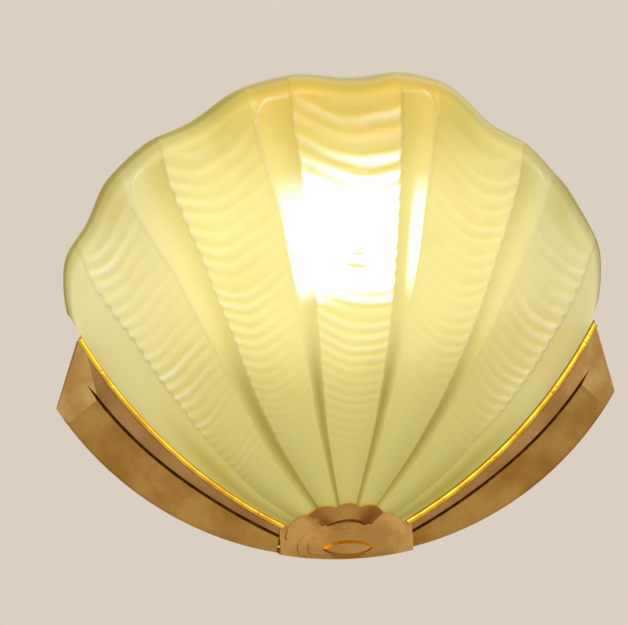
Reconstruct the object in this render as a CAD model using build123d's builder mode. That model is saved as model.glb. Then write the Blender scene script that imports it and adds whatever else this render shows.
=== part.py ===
from build123d import *
from math import acos, atan2, cos, degrees, hypot, pi, radians, sin, sqrt
import os

os.makedirs("parts", exist_ok=True)

# Shell wall light: a pressed glass scallop that slips into a gilt crescent cradle.
# Millimetres. X runs to the right, Z up, and the front faces -Y. The wall is the plane Y = 0,
# so the depth of a point is its distance from the wall, -Y.

# ---------------------------------------------------------------- driving dimensions
# Crescent cradle, front view
half_width = 140.0  # widest point of the arms
cradle_bottom_z = -95.7
arm_end_z = -17.6  # where the lower outline ends, at the widest point
hub_z = -90.0  # point from which the flutes of the shell spread
tip_inset = 12.2  # tips of the arms, in from the widest point
tip_z = 18.5
lip_inner_x, lip_inner_z = 30.0, -77.6  # inner end of the lip arc, behind the boss
lip_bow = 0.0714  # rise of the lip arc over its chord
rim_band_tip, rim_band_hub = 10.6, 6.2  # width of the rim band at the tip and at the boss

# Crescent cradle, section
wall = 2.4
rim_depth = 20.0
edge_depth = 8.2
back_gap = 0.3
flange_gap = 0.8
groove_half, groove_drop = 0.8, 1.8
rim_fall = 0.8
bead_width, bead_height = 2.4, 1.5

# Glass
glass_wall = 4.0
glass_inset = 5.0  # the shell is narrower than the arms, each side
crown_z = 141.5
widest_z = 44.0
hub_edge_radius = 16.0
hub_depth, crown_depth, side_depth = 30.0, 103.0, 13.0
return_depth, return_side_depth = 79.0, 5.0  # edge of the turned-back rim
shoulder_width = 12.0
lip_cover = 4.5  # how far the lip covers the edge of the glass
tip_cover_x, tip_cover_z = 2.4, 2.5
hub_edge_x, hub_edge_z = 15.6, -86.2
flutes = ((0.0, 7.3), (18.8, 7.0), (37.6, 6.2))  # middle and half angle at the rim, degrees
ridges = ((9.55, 2.3), (28.6, 2.8))
flute_hollow, rib_rise, ridge_rise, scallop = 2.6, 1.8, 1.6, 4.2

# Back plate and what it carries
plate_thickness = 2.0
tongue_half_width, tongue_top_z, tongue_corner = 48.0, 52.0, 14.0
wing_inset, wing_top_z, wing_corner = 22.0, -30.0, 8.0  # ends in from the arms' widest point
wall_hole_spacing, wall_hole_z, wall_hole_radius = 60.0, 22.0, 2.5
inlet_x, inlet_z, inlet_radius, inlet_wall = 32.0, -26.0, 4.0, 2.9
grommet_flange, grommet_rise, grommet_ease = 2.2, 2.0, 0.1
casting_screw_radius, casting_hole_radius, countersink_radius = 1.45, 1.7, 3.1
post_radius = 2.7
inner_post_x, inner_post_in = 62.0, 5.6  # X, and distance in from the lower outline
outer_post_inset, outer_post_in = 36.0, 6.2  # in from the widest point and from the outline
boss_post_x, boss_post_z = 29.0, -85.0
tapped_depth = 7.0
felt, gap = 2.2, 0.3
felt_ease = 0.15  # between a felt and the rib that it lies on
rivet_radius, rivet_head_radius, rivet_head_height = 1.55, 2.8, 1.3
small_screw_radius, pan_head_radius, pan_head_height = 1.95, 3.8, 2.4
screw_tail = 0.2  # screws end this far short of the wall
tap_clearance = 0.05

# Lamp and holder
lamp_depth, lamp_z, lamp_tilt = 40.0, 60.0, 10.0
globe_radius, globe_wall = 22.5, 0.9
globe_above_holder = 73.5
holder_radius, holder_wall, holder_length = 13.8, 1.4, 52.0
nipple_radius, nipple_bore = 4.9, 3.5
bracket_width, bracket_thickness = 22.0, 1.5
bracket_foot_low_z = -41.0


# ---------------------------------------------------------------- front-view geometry
def circle_through(a, b, c):
    """Centre and radius of the circle through three points."""
    ax, az, bx, bz, cx, cz = *a, *b, *c
    d = 2 * (ax * (bz - cz) + bx * (cz - az) + cx * (az - bz))
    sa, sb, sc = ax**2 + az**2, bx**2 + bz**2, cx**2 + cz**2
    x = (sa * (bz - cz) + sb * (cz - az) + sc * (az - bz)) / d
    z = (sa * (cx - bx) + sb * (ax - cx) + sc * (bx - ax)) / d
    return x, z, hypot(ax - x, az - z)


def bowed(start, end, bow):
    """Middle point of an arc from start to end that bows out below the chord."""
    dx, dz = end[0] - start[0], end[1] - start[1]
    return (start[0] + end[0]) / 2 - dz * bow, (start[1] + end[1]) / 2 + dx * bow


tip = (half_width - tip_inset, tip_z)
lip_end = (lip_inner_x, lip_inner_z)
lip_x, lip_z, lip_radius = circle_through(tip, bowed(tip, lip_end, lip_bow), lip_end)
cradle_arc_height = arm_end_z - cradle_bottom_z
cradle_arc_radius = (half_width**2 + cradle_arc_height**2) / (2 * cradle_arc_height)
cradle_arc_z = cradle_bottom_z + cradle_arc_radius
widest = (half_width, arm_end_z)


def on_lip(angle, n=0.0):
    """Point n outside the lip arc, in the direction angle from the arc's centre."""
    return lip_x + (lip_radius + n) * cos(angle), lip_z + (lip_radius + n) * sin(angle)


def lip_angle(point):
    return atan2(point[1] - lip_z, point[0] - lip_x)


def lip_angle_at_x(x):
    return -acos((x - lip_x) / lip_radius)


def reach(angle, centre_x, centre_z, radius):
    """Distance from the lip arc to a circle, along the lip's own radius."""
    dx, dz = lip_x - centre_x, lip_z - centre_z
    b = dx * cos(angle) + dz * sin(angle)
    return -b + sqrt(b * b - dx * dx - dz * dz + radius * radius) - lip_radius


tip_angle, inner_angle = lip_angle(tip), lip_angle_at_x(lip_inner_x)
lip_middle = on_lip((tip_angle + inner_angle) / 2, lip_cover)
edge_x, edge_z, edge_radius = circle_through(
    (tip[0] + tip_cover_x, tip[1] + tip_cover_z), lip_middle, (hub_edge_x, hub_edge_z)
)


def station_plane(angle):
    """Section plane of the arm: local x out from the lip, local y the depth."""
    x, z = on_lip(angle)
    out = Vector(cos(angle), 0, sin(angle))
    return Plane(origin=(x, 0, z), x_dir=out, z_dir=out.cross(Vector(0, -1, 0)))


def arc_band(angle_a, angle_b, inside, outside, centre=None):
    """Closed outline between two arcs about the same centre; the lip's, unless given."""
    cx, cz, radius = centre or (lip_x, lip_z, lip_radius)
    middle = (angle_a + angle_b) / 2

    def at(angle, n):
        return cx + (radius + n) * cos(angle), cz + (radius + n) * sin(angle)

    ThreePointArc(at(angle_a, inside), at(middle, inside), at(angle_b, inside))
    Line(at(angle_b, inside), at(angle_b, outside))
    ThreePointArc(at(angle_b, outside), at(middle, outside), at(angle_a, outside))
    Line(at(angle_a, outside), at(angle_a, inside))


def front(depth):
    """Front-facing sketch plane at a depth: local x is X, local y is Z."""
    return Plane.XZ.offset(depth)


def from_wall(x, z, depth=0.0):
    """Plane that faces the wall, so that holes made on it run toward the front."""
    return Plane((x, -depth, z), x_dir=(1, 0, 0), z_dir=(0, 1, 0))


def export(builder, name):
    builder.part.label = name
    export_step(builder.part, f"parts/{name}.step")


# ---------------------------------------------------------------- back plate
plate_arc_radius = cradle_arc_radius - wall - flange_gap
wing_half_width = half_width - wing_inset


def post_at(x, distance_in):
    """Centre of a post, set in from the plate's lower edge."""
    angle, radius = -acos(x / cradle_arc_radius), plate_arc_radius - distance_in
    return radius * cos(angle), cradle_arc_z + radius * sin(angle)


arm_posts = [
    post_at(inner_post_x, inner_post_in),
    post_at(half_width - outer_post_inset, outer_post_in),
]
post_points = [*arm_posts, (boss_post_x, boss_post_z)]
screw_points = [(side * x, z) for x, z in post_points for side in (1, -1)]
bracket_screw_points = [(0.0, -17.0), (0.0, -33.0)]
rivet_x, rivet_z = 11.0, -81.5
shelf_rivet_points = [(rivet_x, rivet_z), (-rivet_x, rivet_z)]
terminal_x, terminal_z = -32.0, -28.0
earth_x, earth_z = 30.0, -56.0

with BuildPart() as back_plate:
    with BuildSketch(front(0)):
        with Locations((0, cradle_arc_z)):
            Circle(plate_arc_radius)
        with Locations((0, wing_top_z)):
            Rectangle(
                2 * wing_half_width,
                wing_top_z - cradle_bottom_z,
                align=(Align.CENTER, Align.MAX),
                mode=Mode.INTERSECT,
            )
        with Locations((0, wing_top_z - wing_corner)):
            Rectangle(
                2 * tongue_half_width,
                tongue_top_z - wing_top_z + wing_corner,
                align=(Align.CENTER, Align.MIN),
            )
    extrude(amount=plate_thickness)
    fillet(back_plate.edges().filter_by(Axis.Y).group_by(Axis.Z)[-1], tongue_corner)
    inner_corners = back_plate.edges().filter_by(Axis.Y)
    fillet(inner_corners.filter_by_position(Axis.Z, wing_top_z - 1, wing_top_z + 1), wing_corner)
    with Locations(*(from_wall(x, z) for x, z in screw_points)):
        CounterSinkHole(casting_hole_radius, countersink_radius, counter_sink_angle=90)
    with Locations(front(plate_thickness)):
        with Locations(*((side * wall_hole_spacing / 2, wall_hole_z) for side in (1, -1))):
            Hole(wall_hole_radius)
        with Locations((inlet_x, inlet_z)):
            Hole(inlet_radius + inlet_wall)
        with Locations(*bracket_screw_points, (earth_x, earth_z), (terminal_x, terminal_z)):
            Hole(small_screw_radius + tap_clearance)
        with Locations(*shelf_rivet_points):
            Hole(rivet_radius + tap_clearance)
export(back_plate, "back_plate")

# The grommet snaps into the plate from the front and ends flush with the wall side.
with BuildPart() as cable_grommet:
    with BuildSketch(front(grommet_ease)):
        with Locations((inlet_x, inlet_z)):
            Circle(inlet_radius + inlet_wall - grommet_ease)
    extrude(amount=plate_thickness - grommet_ease)
    with BuildSketch(front(plate_thickness)):
        with Locations((inlet_x, inlet_z)):
            Circle(inlet_radius + inlet_wall + grommet_flange)
    extrude(amount=grommet_rise)
    fillet(cable_grommet.edges().sort_by(Axis.Y)[0], 0.8)
    with Locations(front(plate_thickness + grommet_rise)):
        with Locations((inlet_x, inlet_z)):
            Hole(inlet_radius)
export(cable_grommet, "cable_grommet")

# ---------------------------------------------------------------- cradle arms
seat_rib_in = gap + felt
seat_rib, seat_rib_back = 2.0, 5.0
glass_passage = 0.8  # room round the glass where it leaves the end wall
boss_half_width = 33.0
bead_foot = bead_width + 0.5  # flat land under the bead, on top of the rim
edge_slope, edge_land = 1.2, 0.8  # rounding of the outer edge, drawn as one facet
arm_start_angle = lip_angle_at_x(boss_half_width - 14)
arm_over_angle = tip_angle + 0.07
arm_stations = [arm_start_angle + (arm_over_angle - arm_start_angle) * i / 5 for i in range(6)]


def rim_band(angle):
    share = (angle - inner_angle) / (tip_angle - inner_angle)
    return rim_band_hub + (rim_band_tip - rim_band_hub) * max(0.0, min(1.0, share * 1.5))


def outer_section(angle):
    band, width = rim_band(angle), reach(angle, 0, cradle_arc_z, cradle_arc_radius)
    return (
        (0, back_gap),
        (0, rim_depth),
        (bead_foot, rim_depth),
        (band - groove_half, rim_depth - rim_fall),
        (band, rim_depth - rim_fall - groove_drop),
        (band + groove_half, rim_depth - 1.6 * rim_fall),
        (width - edge_slope, edge_depth + edge_land),
        (width, edge_depth - edge_land),
        (width, back_gap),
    )


def inner_section(angle):
    band, width = rim_band(angle), reach(angle, 0, cradle_arc_z, cradle_arc_radius)
    return (
        (-3, -2),
        (-3, rim_depth - wall),
        (band - 3 * groove_half, rim_depth - wall),
        (band + groove_half / 2, rim_depth - wall - groove_drop),
        (width - wall - edge_slope / 2, edge_depth - wall + 1.0),
        (width - wall, edge_depth - wall + 0.2),
        (width - wall, -2),
    )


# The mitred end facet leans back from the vertex of the groove to the widest point.
vertex_angle = tip_angle - 0.105
vertex = Vector(*on_lip(vertex_angle, rim_band(vertex_angle)))
facet_origin = Vector(vertex.X, -(rim_depth - rim_fall - groove_drop / 2), vertex.Y)
facet_tip = Vector(tip[0], -rim_depth, tip[1])
facet_far = Vector(widest[0], -(edge_depth - 2 * edge_land), widest[1])
facet_normal = (facet_tip - facet_origin).cross(facet_far - facet_origin).normalized()
if facet_normal.Y > 0:
    facet_normal = facet_normal * -1
end_run = Vector(widest[0] - tip[0], 0, widest[1] - tip[1]).normalized()
end_normal = Vector(-end_run.Z, 0, end_run.X)


def cut_ends(inset):
    """Trim the arm at its end wall and its facet; inset moves both cuts in by a wall."""
    split(
        bisect_by=Plane(Vector(tip[0], 0, tip[1]) - end_normal * inset, z_dir=end_normal),
        keep=Keep.BOTTOM,
    )
    split(
        bisect_by=Plane(facet_origin - facet_normal * inset, z_dir=facet_normal),
        keep=Keep.BOTTOM,
    )


rib_end_angle = atan2(tip[1] - edge_z, tip[0] - edge_x) - 0.1
rib_start_angle = -acos((boss_half_width + 5 - edge_x) / edge_radius)

with BuildPart() as arm_hollow:
    for station in arm_stations:
        with BuildSketch(station_plane(station)):
            with BuildLine():
                Polyline(*inner_section(station), close=True)
            make_face()
    loft()
    cut_ends(wall)
    with BuildSketch(front(plate_thickness)):
        with Locations(*arm_posts):
            Circle(post_radius)
    extrude(amount=rim_depth, mode=Mode.SUBTRACT)
    with BuildSketch(front(seat_rib_back)):
        with BuildLine():
            arc_band(
                rib_start_angle,
                rib_end_angle,
                seat_rib_in,
                seat_rib_in + seat_rib,
                (edge_x, edge_z, edge_radius),
            )
        make_face()
    extrude(amount=rim_depth, mode=Mode.SUBTRACT)
    with BuildSketch(front(0)):
        with Locations((edge_x, edge_z)):
            Circle(edge_radius + glass_passage)
        with Locations((tip[0] - 12, tip[1] - 12)):
            Rectangle(30, 30, align=(Align.MIN, Align.MIN), mode=Mode.INTERSECT)
    extrude(amount=rim_depth - wall)

with BuildPart() as cradle_arm_right:
    for station in arm_stations:
        with BuildSketch(station_plane(station)):
            with BuildLine():
                Polyline(*outer_section(station), close=True)
            make_face()
    loft()
    cut_ends(0)
    add(arm_hollow.part, mode=Mode.SUBTRACT)
    split(bisect_by=Plane.YZ.offset(boss_half_width + gap), keep=Keep.TOP)
    with Locations(*(from_wall(x, z, plate_thickness) for x, z in arm_posts)):
        Hole(casting_screw_radius + tap_clearance, depth=tapped_depth)
export(cradle_arm_right, "cradle_arm_right")

with BuildPart() as cradle_arm_left:
    mirror(cradle_arm_right.part, about=Plane.YZ)
export(cradle_arm_left, "cradle_arm_left")

# Polished bead along the lip, soldered on the rim. It runs over the boss's shoulder to the fan.
bead_start_x = 30.4
bead_start_angle = lip_angle_at_x(bead_start_x)
with BuildPart() as edge_strip_right:
    with BuildSketch(front(rim_depth)):
        with BuildLine():
            arc_band(bead_start_angle, tip_angle - 0.006, 0.0, bead_width)
        make_face()
    extrude(amount=bead_height)
    fillet(edge_strip_right.faces().sort_by(Axis.Y)[0].edges(), 0.5)
export(edge_strip_right, "edge_strip_right")

with BuildPart() as edge_strip_left:
    mirror(edge_strip_right.part, about=Plane.YZ)
export(edge_strip_left, "edge_strip_left")

# Felt strips on the seat ribs, under the edge of the glass.
with BuildPart() as seat_pad_right:
    with BuildSketch(front(seat_rib_back + 1.0)):
        with BuildLine():
            arc_band(
                rib_start_angle,
                rib_end_angle,
                gap,
                seat_rib_in - felt_ease,
                (edge_x, edge_z, edge_radius),
            )
        make_face()
    extrude(amount=8.0)
export(seat_pad_right, "seat_pad_right")

with BuildPart() as seat_pad_left:
    mirror(seat_pad_right.part, about=Plane.YZ)
export(seat_pad_left, "seat_pad_left")

# ---------------------------------------------------------------- pressed glass shell
def edge_angle(r):
    """Angle from upright, seen from the hub, at which the side edge lies r from the hub."""
    dx, dz = edge_x, edge_z - hub_z
    d = hypot(dx, dz)
    return atan2(dx, dz) + acos((r * r + d * d - edge_radius**2) / (2 * r * d))


def rim_radius(angle):
    """Distance from the hub to the oval outline of the shell."""
    rise, half_height = widest_z - hub_z, crown_z - widest_z
    a = (sin(angle) / (half_width - glass_inset)) ** 2 + (cos(angle) / half_height) ** 2
    b = cos(angle) * rise / half_height**2
    c = (rise / half_height) ** 2 - 1
    return (b + sqrt(b * b - a * c)) / a


corner_radius = 1.2 * half_width
for _ in range(60):
    corner_radius = rim_radius(edge_angle(corner_radius))
corner_angle = edge_angle(corner_radius)
front_share = 0.86  # of the way from the hub edge to the rim; the rest is the shoulder


def swell(angle, bands):
    """Cosine bumps over the given bands, each a middle and a half angle in degrees."""
    total = 0.0
    for middle, half in bands:
        across = (abs(degrees(angle)) - middle) / half
        if abs(across) < 1:
            total += 0.5 * (1 + cos(pi * across))
    return total


def ease(t):
    t = min(1.0, max(0.0, t))
    return t * t * (3 - 2 * t)


def crown_line(t):
    """Depth of the middle of the shell, t of the way from the hub edge to the shoulder."""
    return hub_depth + (crown_depth - hub_depth) * sin(pi * t / 2)


def shell_point(s, v):
    """Outer face: s runs from side edge to side edge (-1 to 1), v from hub edge to rim."""
    rim_angle = s * corner_angle
    flute, ridge = swell(rim_angle, flutes), swell(rim_angle, ridges)
    outline = rim_radius(rim_angle) - scallop * flute
    shoulder = outline - shoulder_width
    bulge = cos(pi * s / 2) ** 2
    if v <= front_share:
        t = v / front_share
        radius = hub_edge_radius + t * (shoulder - hub_edge_radius)
        depth = side_depth + (crown_line(t) - side_depth) * bulge
        fade = 1.0
    else:
        turn = (v - front_share) / (1 - front_share) * pi / 2
        radius = shoulder + shoulder_width * sin(turn)
        brow = side_depth + (crown_depth - side_depth) * bulge
        lowest = return_side_depth + (return_depth - return_side_depth) * bulge
        depth = lowest + (brow - lowest) * cos(turn)
        fade = cos(turn)
    share = (radius - hub_edge_radius) / (outline - hub_edge_radius)
    angle = s * edge_angle(hub_edge_radius + share * (corner_radius - hub_edge_radius))
    upper = ease((share - 0.3) / 0.5)
    lower = (1 - upper) * ease(share / 0.12)
    relief = fade * (rib_rise * lower * flute - flute_hollow * upper * flute)
    relief += fade * ridge_rise * upper * ridge
    return Vector(radius * sin(angle), -depth, hub_z + radius * cos(angle)), relief


def shell_normal(s, v, step=1e-3):
    """Outward normal of the smooth shell."""
    s_low, s_high = max(-1.0, s - step), min(1.0, s + step)
    v_low, v_high = max(0.0, v - step), min(1.0, v + step)
    along_s = shell_point(s_high, v)[0] - shell_point(s_low, v)[0]
    along_v = shell_point(s, v_high)[0] - shell_point(s, v_low)[0]
    normal = along_s.cross(along_v).normalized()
    return normal if normal.Y < 0 else normal * -1


def shell_face(inset, across=89, upward=30):
    """Spline face of the shell, set in from the outer face."""
    rows = []
    for j in range(upward):
        row = []
        for i in range(across):
            s, v = 2 * i / (across - 1) - 1, j / (upward - 1)
            point, relief = shell_point(s, v)
            row.append(point + shell_normal(s, v) * (relief - inset))
        rows.append(row)
    return Face.make_surface_from_array_of_points(rows, tol=0.02, min_deg=3, max_deg=3)


outer_face, inner_face = shell_face(0.0), shell_face(glass_wall)
rim_faces = []
for outer_edge in outer_face.edges():
    middle = outer_edge.center()
    inner_edge = min(inner_face.edges(), key=lambda edge: (edge.center() - middle).length)
    rim_faces.append(Face.make_surface_from_curves(outer_edge, inner_edge))
shell_solid = Solid(Shell([outer_face, inner_face, *rim_faces]))

with BuildPart() as glass_shade:
    add(shell_solid)
export(glass_shade, "glass_shade")

# ---------------------------------------------------------------- centre boss
boss_depth = 22.0
fan_start = 13.0
fan_thickness = wall
fan_half_width, fan_height = 32.0, 21.5  # oval that carries the lobes
fan_half_angle = 80.0
fan_lobes, lobe_rise, lobe_root = 5, 1.9, 0.6
fan_stations = 31
glass_gap = 0.8
shoulder_start_x, shoulder_thickness = 23.0, 1.0  # continues the rim of the arms to the fan
step_ovals = ((24.5, 12.0, 1.4), (19.5, 9.0, 2.8))  # half width, half height, rise
step_edge = 1.2  # each step is set in from the outline by this
cabochon_half_width, cabochon_half_height, cabochon_rise = 14.0, 5.4, 5.4


def boss_z_at(x):
    return cradle_arc_z - sqrt(cradle_arc_radius**2 - x * x)


def fan_reach(angle):
    """Outer edge of the fan: an oval with lobes."""
    oval = 1 / sqrt((sin(angle) / fan_half_width) ** 2 + (cos(angle) / fan_height) ** 2)
    lobe = abs(cos(fan_lobes * pi / 2 * angle / radians(fan_half_angle)))
    return oval + lobe_rise * lobe - lobe_root


def glass_front(radius, angle):
    """Depth of the outer face of the glass near the hub, ribs included."""
    share = 0.0
    for _ in range(4):
        edge_distance = hub_edge_radius + share * (corner_radius - hub_edge_radius)
        s = min(1.0, abs(angle) / edge_angle(edge_distance))
        outline = rim_radius(s * corner_angle) - scallop * swell(s * corner_angle, flutes)
        share = (radius - hub_edge_radius) / (outline - hub_edge_radius)
    to_shoulder = outline - shoulder_width - hub_edge_radius
    v = front_share * (radius - hub_edge_radius) / to_shoulder
    point, relief = shell_point(s, v)
    return relief - point.Y


def fan_section(angle):
    """Section of the fan in the plane that holds the hub's axis: radius and depth."""
    reach_out = fan_reach(angle)
    base = boss_depth - fan_thickness
    middle = (hub_edge_radius + reach_out) / 2
    inner, halfway, outer = (
        max(base + bow, glass_front(radius, angle) + glass_gap)
        for radius, bow in ((hub_edge_radius, 0.0), (middle, 0.15), (reach_out, 0.0))
    )
    return (
        (fan_start, base - 1.5),
        (hub_edge_radius - 0.6, inner),
        (middle, halfway),
        (reach_out, outer),
        (reach_out - 0.3, outer + fan_thickness),
        (middle - 0.4, halfway + fan_thickness),
        (hub_edge_radius - 1.2, inner + fan_thickness),
        (fan_start, boss_depth),
    )


with BuildPart() as boss_fan:
    for i in range(fan_stations):
        fan_angle = radians(fan_half_angle) * (2 * i / (fan_stations - 1) - 1)
        radial = Vector(sin(fan_angle), 0, cos(fan_angle))
        fan_plane = Plane((0, 0, hub_z), x_dir=radial, z_dir=radial.cross(Vector(0, -1, 0)))
        with BuildSketch(fan_plane):
            with BuildLine():
                Polyline(*fan_section(fan_angle), close=True)
            make_face()
    loft(ruled=True)

with BuildPart() as centre_boss:
    with BuildSketch(front(back_gap)):
        with BuildLine():
            side_low = boss_z_at(boss_half_width)
            Line((-boss_half_width, side_low), (-boss_half_width, hub_z + 5))
            Line((-boss_half_width, hub_z + 5), (boss_half_width, hub_z + 5))
            Line((boss_half_width, hub_z + 5), (boss_half_width, side_low))
            ThreePointArc(
                (boss_half_width, side_low), (0, boss_z_at(0)), (-boss_half_width, side_low)
            )
        make_face()
        with Locations((0, hub_z)):
            Circle(fan_start + 0.8)
        with Locations((0, cradle_arc_z)):
            Circle(cradle_arc_radius, mode=Mode.INTERSECT)
    extrude(amount=boss_depth - back_gap)
    with BuildSketch(front(back_gap)):
        with Locations((0, cradle_arc_z)):
            Circle(cradle_arc_radius - wall)
    extrude(amount=boss_depth - wall - back_gap, mode=Mode.SUBTRACT)
    with BuildSketch(front(plate_thickness)):
        with Locations((boss_post_x, boss_post_z), (-boss_post_x, boss_post_z)):
            Circle(post_radius)
    extrude(amount=boss_depth - wall - plate_thickness)
    add(boss_fan.part)
    with BuildSketch(front(rim_depth - shoulder_thickness)):
        with BuildLine():
            arc_band(
                lip_angle_at_x(shoulder_start_x),
                lip_angle_at_x(boss_half_width),
                0.0,
                hub_edge_radius,
            )
        make_face()
        with Locations((0, cradle_arc_z)):
            Circle(cradle_arc_radius - wall, mode=Mode.INTERSECT)
        mirror(about=Plane.YZ)
        with Locations((0, hub_z)):
            Rectangle(2 * boss_half_width, 2 * hub_edge_radius, mode=Mode.INTERSECT)
    extrude(amount=shoulder_thickness)
    for number, (step_x, step_z, rise) in enumerate(step_ovals, 1):
        with BuildSketch(front(boss_depth)):
            with Locations((0, hub_z + 0.5)):
                Ellipse(step_x, step_z)
            with Locations((0, cradle_arc_z)):
                Circle(cradle_arc_radius - step_edge * number, mode=Mode.INTERSECT)
        extrude(amount=rise)
    with BuildSketch(front(boss_depth)):
        with Locations((0, hub_z)):
            Ellipse(cabochon_half_width, cabochon_half_height)
    extrude(amount=cabochon_rise, taper=28)
    with Locations(
        from_wall(boss_post_x, boss_post_z, plate_thickness),
        from_wall(-boss_post_x, boss_post_z, plate_thickness),
    ):
        Hole(casting_screw_radius + tap_clearance, depth=tapped_depth)
export(centre_boss, "centre_boss")

# ---------------------------------------------------------------- shelf under the hub of the glass
shelf_half_width = 18.0
shelf_depth = boss_depth - wall - gap
shelf_metal = 1.5
shelf_flange_top = rivet_z + 4.5
pad_top = hub_edge_z - gap
pad_inset = 0.5  # the felt is smaller than the shelf, each side
shelf_top = pad_top - felt
with BuildPart() as hub_shelf:
    with BuildSketch(Plane.YZ.offset(-shelf_half_width)):
        with BuildLine():
            Polyline(
                (-plate_thickness, shelf_top - shelf_metal),
                (-shelf_depth, shelf_top - shelf_metal),
                (-shelf_depth, shelf_top),
                (-plate_thickness - shelf_metal, shelf_top),
                (-plate_thickness - shelf_metal, shelf_flange_top),
                (-plate_thickness, shelf_flange_top),
                close=True,
            )
        make_face()
    extrude(amount=2 * shelf_half_width)
    with Locations(front(plate_thickness + shelf_metal)):
        with Locations(*shelf_rivet_points):
            Hole(rivet_radius + tap_clearance)
export(hub_shelf, "hub_shelf")

with BuildPart() as seat_pad_centre:
    with BuildSketch(Plane.XY.offset(shelf_top)):
        with Locations((0, -shelf_depth + 2.0)):
            Rectangle(
                2 * (shelf_half_width - pad_inset),
                shelf_depth - plate_thickness - shelf_metal - 3.0,
                align=(Align.CENTER, Align.MIN),
            )
    extrude(amount=felt)
export(seat_pad_centre, "seat_pad_centre")

with BuildPart() as shelf_rivets:
    for rivet in shelf_rivet_points:
        with BuildSketch(front(0.2)):
            with Locations(rivet):
                Circle(rivet_radius)
        extrude(amount=plate_thickness + shelf_metal - 0.2)
        with BuildSketch(front(plate_thickness + shelf_metal)):
            with Locations(rivet):
                Circle(rivet_head_radius)
        extrude(amount=rivet_head_height, taper=25)
export(shelf_rivets, "shelf_rivets")


# ---------------------------------------------------------------- screws
def head_slot(head_top, radius):
    """Straight slot across a screw's head, on the plane of its top."""
    with BuildSketch(head_top) as slot:
        Rectangle(2.2 * radius, 0.8)
    extrude(slot.sketch, amount=-0.8, mode=Mode.SUBTRACT)


def pan_screws(places, seat, radius=small_screw_radius, head=(pan_head_radius, pan_head_height)):
    """Slotted pan-head screws at front-view points, with heads on the seat's depth."""
    head_radius, head_height = head
    for x, z in places:
        top = Plane((x, -seat - head_height, z), x_dir=(1, 0, 0), z_dir=(0, -1, 0))
        with BuildSketch(top.offset(-head_height)) as head_disc:
            Circle(head_radius)
        extrude(head_disc.sketch, amount=head_height, taper=12)
        with BuildSketch(top.offset(-head_height)) as shank:
            Circle(radius)
        extrude(shank.sketch, amount=-(seat - screw_tail))
        head_slot(top, head_radius)


casting_screw_end = 8.6
with BuildPart() as casting_screws:
    for x, z in screw_points:
        with BuildSketch(Plane.XZ.offset(0.15)):
            with Locations((x, z)):
                Circle(countersink_radius - 0.25)
        extrude(amount=1.2, taper=45)
        with BuildSketch(Plane.XZ.offset(0.3)):
            with Locations((x, z)):
                Circle(casting_screw_radius)
        extrude(amount=casting_screw_end - 0.3)
export(casting_screws, "casting_screws")

with BuildPart() as bracket_screws:
    pan_screws(bracket_screw_points, plate_thickness + bracket_thickness)
export(bracket_screws, "bracket_screws")

# ---------------------------------------------------------------- lampholder on its bracket
lamp_axis = Vector(0, -sin(radians(lamp_tilt)), cos(radians(lamp_tilt)))
holder_base = Vector(0, -lamp_depth, lamp_z) - lamp_axis * globe_above_holder
lamp_plane = Plane(holder_base, x_dir=(1, 0, 0), z_dir=lamp_axis)


def lamp_level(height):
    """Plane square to the lamp's axis, at a height above the holder's seat."""
    return lamp_plane.offset(height)


slope = sin(radians(lamp_tilt)) / cos(radians(lamp_tilt))
seat_at_plate = holder_base.Z + (-holder_base.Y - plate_thickness) * slope
seat_overhang = 11.0
seat_run = -holder_base.Y + seat_overhang
seat_drop = (seat_run - plate_thickness) * slope
bracket_bend = 1.9
with BuildPart() as lamp_bracket:
    with BuildSketch(Plane.YZ.offset(-bracket_width / 2)):
        with BuildLine():
            inner_y = -plate_thickness - bracket_thickness
            drop = bracket_thickness / cos(radians(lamp_tilt))
            Polyline(
                (-plate_thickness, bracket_foot_low_z),
                (-plate_thickness, seat_at_plate),
                (-seat_run, seat_at_plate - seat_drop),
                (-seat_run, seat_at_plate - seat_drop - drop),
                (inner_y, seat_at_plate - bracket_thickness * slope - drop),
                (inner_y, bracket_foot_low_z),
                close=True,
            )
        make_face()
    extrude(amount=bracket_width)
    bends = lamp_bracket.edges().filter_by(Axis.X)
    bends = bends.filter_by_position(Axis.Z, seat_at_plate - 3, seat_at_plate + 1)
    fillet(bends.sort_by(Axis.Y)[-1], bracket_bend)
    fillet(lamp_bracket.edges().filter_by(Axis.Z).group_by(Axis.Y)[0], 6)
    with Locations(lamp_plane):
        Hole(nipple_radius + 0.1, depth=6)
    with Locations(front(plate_thickness + bracket_thickness)):
        with Locations(*bracket_screw_points):
            Hole(small_screw_radius + tap_clearance)
export(lamp_bracket, "lamp_bracket")


def ring(low, high, outside, inside):
    """Tube about the lamp's axis."""
    with BuildSketch(lamp_level(low)) as disc:
        Circle(outside)
        if inside:
            Circle(inside, mode=Mode.SUBTRACT)
    extrude(disc.sketch, amount=high - low)


washer_thickness, nut_height, nut_flats = 1.0, 3.2, 14.0
with BuildPart() as lamp_nipple:
    ring(-bracket_thickness - washer_thickness - nut_height - 1.2, 4.5, nipple_radius, nipple_bore)
export(lamp_nipple, "lamp_nipple")

with BuildPart() as nipple_washer:
    ring(-bracket_thickness - washer_thickness, -bracket_thickness, 7.4, nipple_radius + 0.1)
export(nipple_washer, "nipple_washer")

with BuildPart() as nipple_nut:
    with BuildSketch(lamp_level(-bracket_thickness - washer_thickness)):
        RegularPolygon(nut_flats / 2, 6, major_radius=False)
        Circle(nipple_radius + 0.05, mode=Mode.SUBTRACT)
    extrude(amount=-nut_height)
export(nipple_nut, "nipple_nut")

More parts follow.
